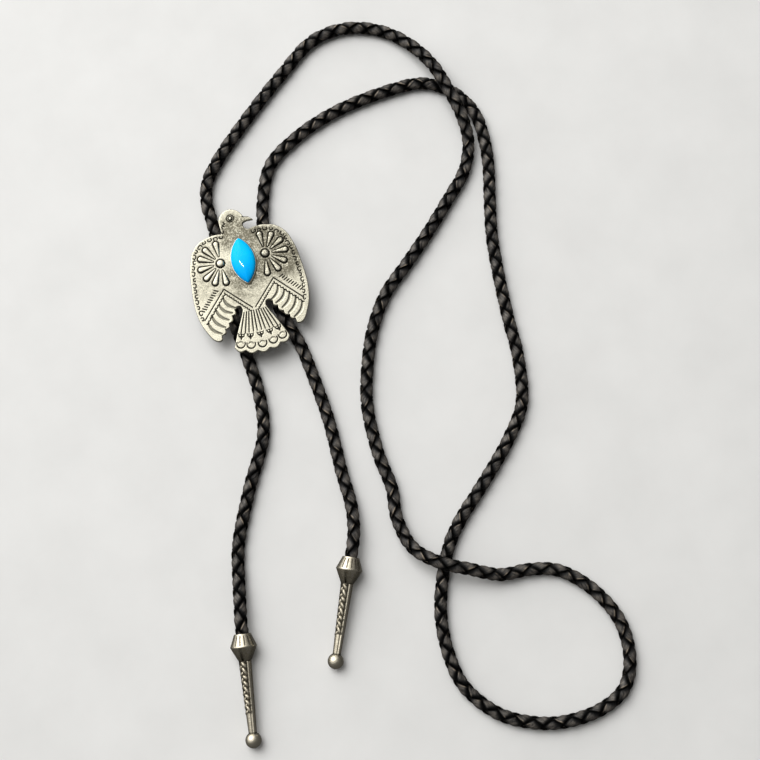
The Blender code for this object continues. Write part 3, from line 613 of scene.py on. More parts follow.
# %% Lines of the head and wings
EYE_CENTRE = np.array([-1.15, 23.5]) * MM
EYE_RING_RADIUS = 1.3 * MM
BEAK_LINE = np.array([(3.0, 23.1), (4.1, 22.95), (5.4, 22.6)]) * MM
NECK_MARKS = [(-4.15, 22.1, 20), (-4.3, 20.7, 200), (-5.0, 19.2, 60)]
CHEVRONS = [
    {"outer": (0.878, -0.414), "peak": (0.441, -0.059), "inner": (0.029, -0.388)},
    {"outer": (0.863, -0.469), "peak": (0.439, -0.113), "inner": (0.054, -0.429)},
]
WAVES = {"outer": {"pitch": 1.35 * MM, "swing": 0.42 * MM},
         "inner": {"pitch": 0.95 * MM, "swing": -0.32 * MM}}
FEATHER_LINES = [
    {"top": (0.487, -0.174), "bottom": (0.324, -0.341)},
    {"top": (0.581, -0.253), "bottom": (0.391, -0.400)},
    {"top": (0.658, -0.303), "bottom": (0.476, -0.480)},
    {"top": (0.749, -0.373), "bottom": (0.562, -0.568)},
    {"top": (0.835, -0.462), "bottom": (0.645, -0.640)},
]
FEATHER_BOW = 0.85 * MM
STROKES = {"from": (11.9 * MM, -1.5 * MM), "to": (17.9 * MM, -7.8 * MM), "count": 10,
           "turn": radians(28), "half": 0.62 * MM, "uneven": 0.10 * MM}


def circle(centre, radius, first=0.0, last=2 * pi, count=29):
    turns = np.linspace(first, last, count)
    return centre + radius * np.stack([np.sin(turns), np.cos(turns)], axis=1)


def waved(start, end, pitch, swing):
    """A line of small waves from start to end."""
    way = end - start
    side = np.array([way[1], -way[0]]) / np.linalg.norm(way)
    count = max(round(np.linalg.norm(way) / pitch), 1)
    share = np.linspace(0.0, 1.0, 8 * count + 1)
    return start + way * share[:, None] + side * swing * np.abs(np.sin(pi * count * share))[:, None]


def turned_about(points, lean, centre):
    """Points in millimetres about a centre, leant over by an angle."""
    points = np.array(points, float) * MM
    across = np.array([cos(lean), sin(lean)])
    forward = np.array([-sin(lean), cos(lean)])
    return centre + points[:, :1] * across + points[:, 1:] * forward


def head_marks(plate):
    plate.groove("eye ring", circle(EYE_CENTRE, EYE_RING_RADIUS))
    plate.dome("eye", EYE_CENTRE)
    plate.groove("beak", BEAK_LINE)
    for x, y, turn in NECK_MARKS:
        arc = circle((0, 0), 0.5, radians(turn), radians(turn + 210), 9)
        plate.groove("neck", turned_about(arc, 0.0, np.array([x, y]) * MM))


def wing_marks(plate, mirror):
    plain, wavy = ({name: on_bird(place, mirror) for name, place in row.items()} for row in CHEVRONS)
    plate.groove("chevron", list(plain.values()))
    for name, wave in WAVES.items():
        plate.groove("wave", waved(wavy["peak"], wavy[name], wave["pitch"], mirror * wave["swing"]))
    for row in FEATHER_LINES:
        top, bottom = on_bird(row["top"], mirror), on_bird(row["bottom"], mirror)
        plate.groove("feather", bowed(top, bottom, mirror * FEATHER_BOW, 11))
    way = np.array([cos(STROKES["turn"]), mirror * sin(STROKES["turn"])])
    for number, middle in enumerate(np.linspace(STROKES["from"], STROKES["to"], STROKES["count"])):
        reach = way * (STROKES["half"] + STROKES["uneven"] * (-1) ** number)
        plate.groove("stroke", [middle * (mirror, 1) - reach, middle * (mirror, 1) + reach])


# %% Lines of the tail
TAIL_FEATHERS = range(-2, 3)
TAIL_LINE_ENDS = [{"along": -0.430, "pitch": 0.084, "half": 0.022},
                  {"along": -0.705, "pitch": 0.144, "half": 0.039}]
MOON_CENTRES = [(0.0, -0.883), (0.195, -0.868), (0.366, -0.832)]
POINT_CENTRES = [(0.005, -0.757), (0.172, -0.750), (0.325, -0.728)]
# The stamps at a feather's end, in millimetres about their own centre
POINT = [(-1.15, 0.75), (-0.85, -0.15), (0.0, -0.95), (0.85, -0.15), (1.15, 0.75)]
STEM = [(0.0, 0.5), (0.0, -1.25)]
MOON = circle((0, 0), 1.5, radians(72), radians(288))
LID = circle((0.0, -0.35), 1.0, radians(-62), radians(62), 13)


def tail_marks(plate):
    for feather in TAIL_FEATHERS:
        mirror = 1 if feather >= 0 else -1
        for half in (-1, 1):
            plate.groove("tail", [on_bird((feather * row["pitch"] + half * row["half"], row["along"]))
                                  for row in TAIL_LINE_ENDS])
        centre = on_bird(POINT_CENTRES[abs(feather)], mirror)
        moon = on_bird(MOON_CENTRES[abs(feather)], mirror)
        lean = atan2(centre[0], -centre[1]) * 0.8
        plate.groove("point", turned_about(POINT, lean, centre))
        plate.groove("stem", turned_about(STEM, lean, centre))
        for half in (-1, 1):
            plate.dome("feather end", turned_about([(half * 0.46, 0.12)], lean, centre)[0])
        plate.groove("moon", turned_about(MOON, lean, moon))
        plate.groove("lid", turned_about(LID, lean, moon))


# %% The row of marks along the edge
EDGE_INSET = {-1: 1.40 * MM, 1: 1.75 * MM}
EDGE_PITCH = 2.1 * MM
EDGE_SHARE = 0.80
# One mark: how far along the edge as a share of the pitch, and how far out in millimetres
EDGE_MARK = [(-0.34, -0.60), (-0.40, -0.20), (-0.30, 0.22), (-0.12, 0.40), (0.08, 0.34), (0.28, 0.20),
             (0.36, -0.05), (0.30, -0.36), (0.18, -0.50)]


def edge_marks(plate, mirror):
    """Small bows along the shoulder and the outer wing. Each third one bulges the other way."""
    edge = curve_of(WING_EDGE)
    edge = edge[reach_of(edge) < EDGE_SHARE * reach_of(edge)[-1]] * (mirror, 1)
    way = np.gradient(edge, axis=0)
    way /= np.linalg.norm(way, axis=1)[:, None]
    inward = np.stack([way[:, 1], -way[:, 0]], axis=1) * mirror
    path = edge + inward * EDGE_INSET[mirror]
    reach = reach_of(path)
    along, out = np.array(EDGE_MARK).T
    for number, middle in enumerate(np.arange(1.6 * MM, reach[-1] - 0.8 * MM, EDGE_PITCH)):
        flip = -1 if number % 3 == 1 else 1
        size = 0.92 + 0.16 * sin(3.7 * number + mirror)
        at = middle + along * size * EDGE_PITCH + 0.12 * MM * sin(5.3 * number)
        here, away = (np.stack([np.interp(at, reach, row) for row in rows.T], axis=1)
                      for rows in (path, inward))
        plate.groove("edge", here + away * (flip * out * size * MM)[:, None])


# %% [markdown]
# ## From heights to a mesh
# The pattern needs points a tenth of a millimetre apart, but the plain areas don't. So a fine
# grid is stamped first, then most of its points in plain areas are dropped, and a Delaunay
# triangulation joins the rest and the outline into one clean surface.

# %% Make the plate
NET_SPACING = 0.105 * MM
NET_SKIP = 4
NET_CLEARANCE = 0.05 * MM
FINE_EDGE = 0.45 * MM
EDGE_ROUND = 0.28 * MM
EDGE_POLISH = 0.7 * MM
PLATE_SAG = 0.35 * MM
# Where the sheet kept more of its dark finish, mostly the neck, the middle and the right
# shoulder: across, forward and radius in millimetres, and how much
HAZE = [(10, 13, 13, 0.95), (17, 6, 10, 0.95), (2, 16, 9, 1.0), (-2, 17, 9, 1.0), (0, 21, 8, 0.80),
        (-4, 4, 8, 0.50), (-2, -2, 12, 0.62), (5, 3, 9, 0.75), (14, 2, 9, 0.70), (-15, 2, 11, 0.40),
        (-12, 14, 9, 0.42)]


def haze_at(places):
    gaps = [np.linalg.norm(places - np.array([x, y]) * MM, axis=1) for x, y, _, _ in HAZE]
    return np.clip(sum(band(gap, row[2] * MM) * row[3] for gap, row in zip(gaps, HAZE)), 0.0, 1.0)


def stamp_plate(places):
    plate = StampedPlate(places)
    head_marks(plate)
    tail_marks(plate)
    for mirror in (-1, 1):
        wing_marks(plate, mirror)
        edge_marks(plate, mirror)
    rosettes(plate)
    return plate


def plate_points(outline):
    """The outline and the points inside it, with their gaps to the edge, heights and tarnish."""
    low, high = outline.min(axis=0), outline.max(axis=0)
    grid = [np.arange(low[axis], high[axis], NET_SPACING) for axis in (0, 1)]
    places = np.stack(np.meshgrid(*grid), axis=-1).reshape(-1, 2)
    places = places[is_inside(places, outline)]
    gap, _ = near_chain(places, np.concatenate([outline, outline[:1]]), 1.2 * MM)
    places, gap = places[gap > NET_CLEARANCE], gap[gap > NET_CLEARANCE]
    plate = stamp_plate(places)
    column, row = np.round((places - low) / NET_SPACING).astype(int).T
    keep = plate.fine | (gap < FINE_EDGE) | ((column % NET_SKIP == 0) & (row % NET_SKIP == 0))
    zeros = np.zeros(len(outline))
    inner = [np.concatenate([zeros, values[keep]]) for values in (gap, plate.height, plate.dark)]
    return np.concatenate([outline, places[keep]]), *inner


def make_plate(outline):
    places, gap, height, dark = plate_points(outline)
    size = len(outline)
    net = delaunay_2d_cdt([Vector(place) for place in places], [], [list(range(size))[::-1]], 1, 1e-7, False)
    faces = np.array(net[2])
    assert len(net[0]) == len(places)
    faces = faces[is_inside(places[faces].mean(axis=1), outline)]
    sag = PLATE_SAG * ((places[:, 0] / HALF_SPAN) ** 2 + 0.3 * (places[:, 1] / HALF_LENGTH) ** 2)
    rounding = EDGE_ROUND * (1 - np.sqrt(np.clip(1 - (1 - np.clip(gap / EDGE_ROUND, 0, 1)) ** 2, 0, 1)))
    top = np.column_stack([places, PLATE_TOP + height - sag - 0.8 * rounding])
    under = np.column_stack([outline, np.full(size, PLATE_BOTTOM)])
    first = np.arange(size)
    after = (first + 1) % size
    under_first = len(places)
    wall = np.stack([first, after, under_first + after, under_first + first], axis=1)
    back = list(range(under_first, under_first + size))
    piece = new_piece("stamped_plate", np.concatenate([top, under]), faces.tolist() + wall.tolist() + [back])
    piece.data.set_sharp_from_angle(angle=radians(50))
    polish = np.clip(band(gap, EDGE_POLISH) * 0.8 + ease(height / (0.25 * MM)) * 0.9, 0, 1)
    rows = [("recess_and_shade", dark, 0.25), ("haze", haze_at(places), 0.3), ("polish", polish, 0.0)]
    for name, values, beneath in rows:
        add_values(piece.data, name, np.concatenate([values, np.full(size, beneath)]))
    return piece


plate = make_plate(outline)
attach(plate, "root")
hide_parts("medallion")
print("stamped plate:", len(plate.data.polygons), "faces")

# %% [markdown]
# ## The bezel and the stone
# A bezel is a strip of thin silver, soldered to the plate round the stone and pressed over its
# edge. Both follow the same pointed oval. The stone's dome is a set of smaller and smaller
# ovals, flatter in the middle than a ball, as a cabochon is cut.

# %% Build the bezel and the stone
STONE_LENGTH = 16.9 * MM
STONE_WIDTH = 8.6 * MM
STONE_FORWARD = 6.8 * MM
STONE_POINT = 1.6
STONE_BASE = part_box("cabochon")[0].z
STONE_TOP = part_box("cabochon")[1].z
STONE_GIRDLE = 1.0 * MM
STONE_ROWS = 44
OVAL_SIDES = 200
# The bezel's section: out from the stone's edge and up from the plate in millimetres, and how dark
BEZEL_SECTION = [
    (0.48, -0.5, 0.9), (0.46, 0.0, 0.7), (0.42, 0.45, 0.1), (0.34, 0.72, 0.0), (0.22, 0.90, 0.0),
    (0.06, 1.00, 0.0), (-0.10, 0.98, 0.0), (-0.16, 0.90, 0.4), (-0.08, 0.70, 0.8), (0.02, 0.3, 1.0),
    (0.02, -0.5, 1.0),
]


def oval(share=1.0, out=0.0):
    """The pointed oval of the stone, made smaller by a share or wider by a distance."""
    turns = np.linspace(0.0, 2 * pi, OVAL_SIDES, endpoint=False)
    across = np.sign(np.sin(turns)) * np.abs(np.sin(turns)) ** STONE_POINT * STONE_WIDTH / 2
    along = np.cos(turns) * STONE_LENGTH / 2
    edge = np.stack([across, along], axis=1)
    way = np.roll(edge, -1, axis=0) - np.roll(edge, 1, axis=0)
    outward = np.stack([-way[:, 1], way[:, 0]], axis=1) / np.linalg.norm(way, axis=1)[:, None]
    return edge * share + outward * out + (0.0, STONE_FORWARD)


def rings_to_piece(name, rings, closed=False):
    """A skin over rings of equally many points, each ring joined to the next one."""
    rings = np.array(rings)
    count, sides = rings.shape[:2]
    if not closed:
        return new_piece(name, rings, tube_faces(count, sides, 0))
    first = np.arange(count)[:, None] * sides + np.arange(sides)[None, :]
    beside = np.roll(first, -1, axis=1)
    above, next_above = ((corner + sides) % (count * sides) for corner in (first, beside))
    faces = np.stack([first, beside, next_above, above], axis=-1)
    return new_piece(name, rings, faces.reshape(-1, 4).tolist())


def flat_ring(edge, height):
    return np.column_stack([edge, np.full(len(edge), height)])


def make_bezel():
    rings = [flat_ring(oval(out=out * MM), PLATE_TOP + up * MM) for out, up, _ in BEZEL_SECTION]
    piece = rings_to_piece("stone_bezel", rings, closed=True)
    add_values(piece.data, "recess_and_shade", np.repeat([row[2] for row in BEZEL_SECTION], OVAL_SIDES))
    add_values(piece.data, "haze", np.full(len(piece.data.vertices), 0.1))
    add_values(piece.data, "polish", np.full(len(piece.data.vertices), 0.8))
    return piece


def make_stone():
    girdle = STONE_BASE + STONE_GIRDLE
    rings = [flat_ring(oval(0.97), STONE_BASE), flat_ring(oval(1.0), STONE_BASE + 0.1 * MM)]
    for row in range(STONE_ROWS + 1):
        slope = pi / 2 * row / STONE_ROWS
        share = max(cos(slope), 0.004) ** 0.9
        rings.append(flat_ring(oval(share), girdle + (STONE_TOP - girdle) * sin(slope) ** 0.96))
    return rings_to_piece("blue_stone", rings)


bezel = make_bezel()
stone = make_stone()
for piece, node, slot in ((bezel, "medallion", "silver"), (stone, "cabochon", "stone")):
    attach(piece, "root")
    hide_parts(node)
print("stone:", len(stone.data.polygons), "faces")

# %% [markdown]
# ## The cast tips
# Each tip is turned round one axis, and its decoration is low: sixteen flutes on the upper
# cone, leaves on the shaft and a plain rib. So a tip is a tube whose radius changes a little
# from place to place. One function gives both the radius and the darkness, which is tarnish and,
# on the cone, painted shade, at any distance from the mouth and any angle round the axis.

# %% Profile and relief of a tip
TIP_MOUTH_RADIUS = 2.85 * MM
SOCKET_RADIUS = 2.55 * MM
TIP_RIM_EDGE = 0.3 * MM
TIP_NECK_AT = 0.237 * TIP_LENGTH
TIP_NECK_DIAMETER = 4.4 * MM
TIP_SHAFT_END_DIAMETER = 2.8 * MM
TIP_SIDES = 128
TIP_ROW = 0.16 * MM
FLUTE_COUNT = 16
FLUTE_HALF_WIDTH = 0.30 * MM
FLUTE_DEPTH = 0.34 * MM
CONE_FACETS = 8
CONE_FACET_SHARE = 0.35
LEAF_COUNT = 8
LEAVES_END = 0.66 * TIP_LENGTH
LEAF_PANEL_DEPTH = 0.10 * MM
RIB_TURN = radians(36)
RIB_HALF_WIDTH = 0.72 * MM
RIB_RISE = 0.30 * MM


def tip_profile():
    """Distances from the mouth and the plain radius at each, from the mouth to the ball's end."""
    ball = TIP_BALL_DIAMETER / 2
    begins = pi / 2 - acos(TIP_SHAFT_END_DIAMETER / 2 / ball)
    shaft_end = TIP_LENGTH - ball - ball * cos(begins)
    corners = [(0.0, TIP_MOUTH_RADIUS), (TIP_RIM_AT, TIP_RIM_DIAMETER / 2),
               (TIP_RIM_AT + TIP_RIM_EDGE, TIP_RIM_DIAMETER / 2), (TIP_NECK_AT, TIP_NECK_DIAMETER / 2),
               (shaft_end, TIP_SHAFT_END_DIAMETER / 2)]
    rows = []
    for (start, near), (end, far) in zip(corners, corners[1:]):
        count = max(round((end - start) / TIP_ROW), 2)
        share = np.arange(count) / count
        rows.append(np.stack([start + (end - start) * share, near + (far - near) * share], axis=1))
    turns = np.linspace(begins, pi - 0.02, 34)
    rows.append(np.stack([TIP_LENGTH - ball - ball * np.cos(turns), ball * np.sin(turns)], axis=1))
    return np.concatenate(rows).T


def wrapped(turn):
    return (turn + pi) % (2 * pi) - pi


def leaf_rows():
    """Each leaf as distance and turn of its middle, length, width, slant and rise."""
    first = TIP_NECK_AT + 1.3 * MM
    for i in range(LEAF_COUNT):
        here = first + (LEAVES_END - first) * i / (LEAF_COUNT - 1)
        swing = sin(2.1 * i)
        yield here, radians(-8), (3.0 + 0.4 * swing) * MM, 1.15 * MM, radians(-46 + 12 * swing), 0.55 * MM
        yield here + 1.0 * MM, radians(-52), 2.2 * MM, 1.0 * MM, radians(34 + 16 * swing), 0.42 * MM


def tip_surface(distance, turn, plain):
    """The radius, and the tarnish with painted shade on the cone, on a grid of distances and turns."""
    # Flutes from the mouth to the rim
    pitch = 2 * pi / FLUTE_COUNT
    share = distance / TIP_RIM_AT
    flute = band(np.abs((turn / pitch) % 1.0 - 0.5) * pitch * plain, FLUTE_HALF_WIDTH, 1.35)
    flute *= ease((share - 0.08) / 0.1) * ease((0.97 - share) / 0.07)
    radius = plain - FLUTE_DEPTH * flute
    # The cone from the rim to the neck has flat facets. It darkens towards the neck, and painted
    # shade and light give it a dark stripe near the top and a lighter stripe beside it.
    cone = (distance > TIP_RIM_AT + TIP_RIM_EDGE) & (distance < TIP_NECK_AT)
    half = pi / CONE_FACETS
    facet = np.abs(wrapped(CONE_FACETS * turn)) / CONE_FACETS
    flat = cos(half) / np.cos(half - facet) * CONE_FACET_SHARE + 1 - CONE_FACET_SHARE
    radius = np.where(cone, radius * flat, radius)
    shade = 0.30 + 0.45 * np.clip((distance - TIP_RIM_AT) / (TIP_NECK_AT - TIP_RIM_AT), 0, 1)
    shade += 0.35 * band(wrapped(turn + radians(14)), radians(16))
    shade -= 0.35 * band(wrapped(turn - radians(28)), radians(34))
    dark = np.maximum(flute, np.where(cone, shade, 0.0))
    # Leaves on a sunk panel along the shaft
    panel = ease((distance - TIP_NECK_AT + 0.8 * MM) / (0.8 * MM))
    panel *= ease((LEAVES_END + 1.6 * MM - distance) / (0.8 * MM))
    panel *= ease((radians(92) - np.abs(wrapped(turn + radians(30)))) / radians(14))
    radius -= LEAF_PANEL_DEPTH * panel
    dark = np.maximum(dark, 0.9 * panel)
    for here, at, length, width, slant, rise in leaf_rows():
        along = distance - here
        across = plain * wrapped(turn - at)
        u = along * cos(slant) - across * sin(slant)
        v = along * sin(slant) + across * cos(slant)
        round_off = np.clip(1 - (2 * u / length) ** 2 - (2 * v / width) ** 2, 0.0, 1.0)
        vein = np.exp(-(v / (0.10 * MM)) ** 2) * 0.12
        radius = np.maximum(radius, plain - LEAF_PANEL_DEPTH + rise * np.sqrt(round_off) * (1 - vein))
        dark = np.where(round_off > 0.12, np.minimum(dark, 0.15 + 1.6 * vein), dark)
    # A plain rib beside the leaves, and the seam before the ball
    on_shaft = (distance > TIP_NECK_AT) & (distance < TIP_LENGTH - TIP_BALL_DIAMETER * 0.93)
    beside = plain * np.abs(wrapped(turn - RIB_TURN)) / RIB_HALF_WIDTH
    rib = band(beside, 1.0, 1.9) * on_shaft
    radius = np.maximum(radius, plain + RIB_RISE * rib - 0.01 * MM)
    dark = np.clip(np.maximum(dark * (1 - rib), 0.75 * band(beside - 1.25, 0.4) * on_shaft), 0, 1)
    seam = band(distance - TIP_LENGTH + TIP_BALL_DIAMETER * 0.94, 0.5 * MM)
    return radius, np.maximum(dark, 0.9 * seam)


def make_tip(name, place):
    distance, plain = tip_profile()
    turns = np.linspace(0, 2 * pi, TIP_SIDES, endpoint=False)
    distance, turn = np.meshgrid(distance, turns, indexing="ij")
    radius, dark = tip_surface(distance, turn, np.repeat(plain[:, None], TIP_SIDES, axis=1))
    # The socket for the cord: distance from the mouth, radius and how dark
    socket = np.array([(SOCKET_DEPTH, SOCKET_RADIUS, 1.0), (0.15 * MM, SOCKET_RADIUS, 0.8),
                       (0.0, SOCKET_RADIUS + 0.08 * MM, 0.2)])
    distance, radius, dark = (np.concatenate([np.repeat(column[:, None], TIP_SIDES, axis=1), values])
                              for column, values in zip(socket.T, (distance, radius, dark)))
    turn = np.broadcast_to(turns, radius.shape)
    points = np.stack([radius * np.cos(turn), radius * np.sin(turn), -distance], axis=-1)
    tip = rings_to_piece(name, points[:, ::-1])
    tip.data.transform(tip_place(place))
    tip.data.set_sharp_from_angle(angle=radians(42))
    ball = distance > TIP_LENGTH - TIP_BALL_DIAMETER
    shine = band(distance - TIP_RIM_AT - TIP_RIM_EDGE / 2, 0.5 * MM)
    shine += ease(1.6 - np.abs(wrapped(turn - RIB_TURN)) / 0.22) * (distance > TIP_NECK_AT)
    shine = np.clip(shine + (dark < 0.2) * 0.5 + ball, 0, 1)
    for value, rows in (("recess_and_shade", dark), ("polish", shine), ("haze", np.where(ball, 0.1, 0.35))):
        add_values(tip.data, value, rows[:, ::-1])
    return tip


# %% Make both tips
tips = {}
for node, place in TIP_PLACES.items():
    tip = make_tip("cast_" + node, place)
    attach(tip, "root")
    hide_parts(node)
    tips[node] = tip
print("tips:", [len(tip.data.polygons) for tip in tips.values()], "faces")

# %% [markdown]
# ## Building materials from parts
# A material is a small network of nodes. A few helpers keep the networks short. An effect that
# several materials share, such as tarnish, becomes a node group with its own inputs, so it is
# adjusted in one place.

# %% Helpers for node networks


def fill(tree, node, inputs):
    """Gives each input its value, or a link when the value is another node's output."""
    for name, value in inputs.items():
        if isinstance(value, bpy.types.NodeSocket):
            tree.links.new(value, node.inputs[name])
        else:
            node.inputs[name].default_value = value


def add(tree, kind, inputs=None, **settings):
    """Adds a node with its settings and its inputs."""
    node = tree.nodes.new(kind)
    for name, value in settings.items():
        setattr(node, name, value)
    fill(tree, node, inputs or {})
    return node


def maths(tree, operation, first, second=0.5, clamp=False):
    return add(tree, "ShaderNodeMath", {0: first, 1: second}, operation=operation, use_clamp=clamp).outputs[0]


def plus(tree, first, second, clamp=False):
    return maths(tree, "ADD", first, second, clamp)


def times(tree, first, second, clamp=False):
    return maths(tree, "MULTIPLY", first, second, clamp)


def mix(tree, share, first, second):
    """Blends two colours."""
    return add(tree, "ShaderNodeMix", {0: share, 6: first, 7: second}, data_type="RGBA").outputs[2]


def place_of(tree):
    """Where a point of the surface is, in the object's own coordinates."""
    return add(tree, "ShaderNodeTexCoord").outputs["Object"]


def noise(tree, scale, detail=4.0, roughness=0.55, vector=None):
    inputs = {"Vector": vector or place_of(tree), "Scale": scale, "Detail": detail, "Roughness": roughness}
    return add(tree, "ShaderNodeTexNoise", inputs).outputs["Fac"]


def stretch(tree, value, low, high, to_low=0.0, to_high=1.0):
    """Maps a range of values to another one and stops at its ends."""
    inputs = {"Value": value, "From Min": low, "From Max": high, "To Min": to_low, "To Max": to_high}
    return add(tree, "ShaderNodeMapRange", inputs).outputs["Result"]


def value_of(tree, name):
    """A number that the mesh stores for each point."""
    return add(tree, "ShaderNodeAttribute", attribute_name=name).outputs["Fac"]


def bumps(tree, height, strength, distance):
    inputs = {"Height": height, "Strength": strength, "Distance": distance}
    return add(tree, "ShaderNodeBump", inputs).outputs[0]


def new_group(name, inputs, outputs):
    """An empty node group with named sockets, the values it is given and its end node."""
    tree = bpy.data.node_groups.new(name, "ShaderNodeTree")
    for side, rows in (("INPUT", inputs), ("OUTPUT", outputs)):
        for socket, kind in rows.items():
            tree.interface.new_socket(socket, in_out=side, socket_type="NodeSocket" + kind)
    return tree, tree.nodes.new("NodeGroupInput").outputs, tree.nodes.new("NodeGroupOutput")


def new_material(name):
    """A material with its node tree and its main shader."""
    material = bpy.data.materials.new(name)
    material.use_nodes = True
    return material, material.node_tree, material.node_tree.nodes["Principled BSDF"]


# %% [markdown]
# ## Tarnish and scratches
# Old silver darkens where a cloth can't reach, and stays bright on every raised edge. The mesh
# already says which points are recesses, and on the tips' cones it also carries painted shade.
# The tarnish group adds uneven mottling to that, and turns it into a colour and a roughness. The
# scratches are noise stretched a great deal along one direction, two times at different angles.

# %% Node groups that the metals share


def make_tarnish():
    inputs = dict.fromkeys(("Recess_And_Shade", "Haze", "Polish"), "Float")
    inputs.update(dict.fromkeys(("Clean", "Dull", "Dark"), "Color"))
    tree, given, end = new_group("tarnish", inputs, {"Colour": "Color", "Roughness": "Float"})
    patches = noise(tree, 420, 6.0, 0.72)
    specks = noise(tree, 2300, 3.0, 0.6)
    uneven = stretch(tree, plus(tree, patches, times(tree, specks, 1.1)), 0.83, 1.27, -0.6, 0.6)
    haze = plus(tree, times(tree, given["Haze"], plus(tree, uneven, 0.95)), times(tree, uneven, 0.22))
    haze = plus(tree, haze, times(tree, given["Polish"], -0.55), clamp=True)
    dark = times(tree, given["Recess_And_Shade"], stretch(tree, specks, 0.25, 0.5, 0.8, 1.0), clamp=True)
    rough = plus(tree, stretch(tree, specks, 0.3, 0.7, 0.20, 0.32), times(tree, haze, 0.2))
    rough = plus(tree, rough, times(tree, given["Polish"], -0.14))
    fill(tree, end, {"Colour": mix(tree, dark, mix(tree, haze, given["Clean"], given["Dull"]), given["Dark"]),
                     "Roughness": plus(tree, rough, times(tree, dark, 0.25), clamp=True)})
    return tree


def make_scratches():
    tree, _, end = new_group("fine_scratches", {}, {"Height": "Float"})
    lines = []
    for turn, scale in ((0.5, 260), (-0.9, 340)):
        inputs = {"Vector": place_of(tree), "Rotation": (0, 0, turn), "Scale": (1, 16, 1)}
        turned = add(tree, "ShaderNodeMapping", inputs).outputs[0]
        lines.append(stretch(tree, noise(tree, scale, 2.0, 0.5, turned), 0.56, 0.64))
    fill(tree, end, {"Height": times(tree, maths(tree, "MAXIMUM", *lines), -1.0)})
    return tree


TARNISH = make_tarnish()
SCRATCHES = make_scratches()


def metal(name, clean, dull, dark, bump, dents):
    """A worn metal: tarnish for its colour and roughness, and fine scratches for its surface."""
    material, tree, shader = new_material(name)
    inputs = {"Clean": (*clean, 1), "Dull": (*dull, 1), "Dark": (*dark, 1)}
    for value in ("recess_and_shade", "haze", "polish"):
        inputs[value.title()] = value_of(tree, value)
    looks = add(tree, "ShaderNodeGroup", inputs, node_tree=TARNISH).outputs
    scratched = add(tree, "ShaderNodeGroup", node_tree=SCRATCHES).outputs["Height"]
    height = plus(tree, scratched, times(tree, noise(tree, 420, 3.0), dents))
    fill(tree, shader, {"Base Color": looks["Colour"], "Roughness": looks["Roughness"], "Metallic": 1.0,
                        "Normal": bumps(tree, height, bump, 0.03 * MM)})
    return material


silver = metal("antiqued_silver", clean=(0.94, 0.905, 0.735), dull=(0.255, 0.238, 0.178),
               dark=(0.018, 0.015, 0.009), bump=0.5, dents=3.0)
tip_metal = metal("cast_tip_metal", clean=(0.94, 0.87, 0.70), dull=(0.33, 0.275, 0.17),
                  dark=(0.012, 0.009, 0.005), bump=0.5, dents=2.5)
nickel = metal("plain_nickel", clean=(0.70, 0.68, 0.64), dull=(0.45, 0.43, 0.39),
               dark=(0.05, 0.05, 0.05), bump=0.8, dents=0.0)
for piece, material in ((plate, silver), (bezel, silver), (tips["tip_left"], tip_metal),
                        (tips["tip_right"], tip_metal), (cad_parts["cord_slide"], nickel)):
    if not piece.material_slots:
        piece.data.materials.append(material)
    for slot in piece.material_slots:
        slot.material = material
print("metals:", silver.name, tip_metal.name, nickel.name)

# %% [markdown]
# ## The stone's blue
# The stone is bright blue with faint clouds. A painted light makes it a little lighter at its
# upper end, the end towards the lamp. Its polish is a clear layer over the colour, so the
# highlight stays white while the blue stays deep.

# %% Stone material


def make_blue():
    material, tree, shader = new_material("polished_blue")
    forward = add(tree, "ShaderNodeSeparateXYZ", {0: place_of(tree)}).outputs["Y"]
    low, high = STONE_FORWARD - STONE_LENGTH / 2, STONE_FORWARD + STONE_LENGTH / 2
    clouds = stretch(tree, noise(tree, 160, 3.0), 0.3, 0.7, -0.15, 0.15)
    # Painted light: the blue grows lighter towards the stone's upper end, the end towards the lamp.
    light = plus(tree, stretch(tree, forward, low, high, 0.0, 1.7), clouds, clamp=True)
    colour = mix(tree, light, (0.0, 0.235, 0.60, 1), (0.0, 0.345, 0.66, 1))
    specks = stretch(tree, noise(tree, 900, 2.0), 0.60, 0.72, 0.0, 0.35)
    fill(tree, shader, {"Base Color": mix(tree, specks, colour, (0.0, 0.40, 0.72, 1)), "Roughness": 0.5,
                        "Specular IOR Level": 0.0, "Coat Weight": 1.0, "Coat Roughness": 0.05,
                        "Coat IOR": 1.24})
    return material


stone.data.materials.append(make_blue())
print("stone material added")
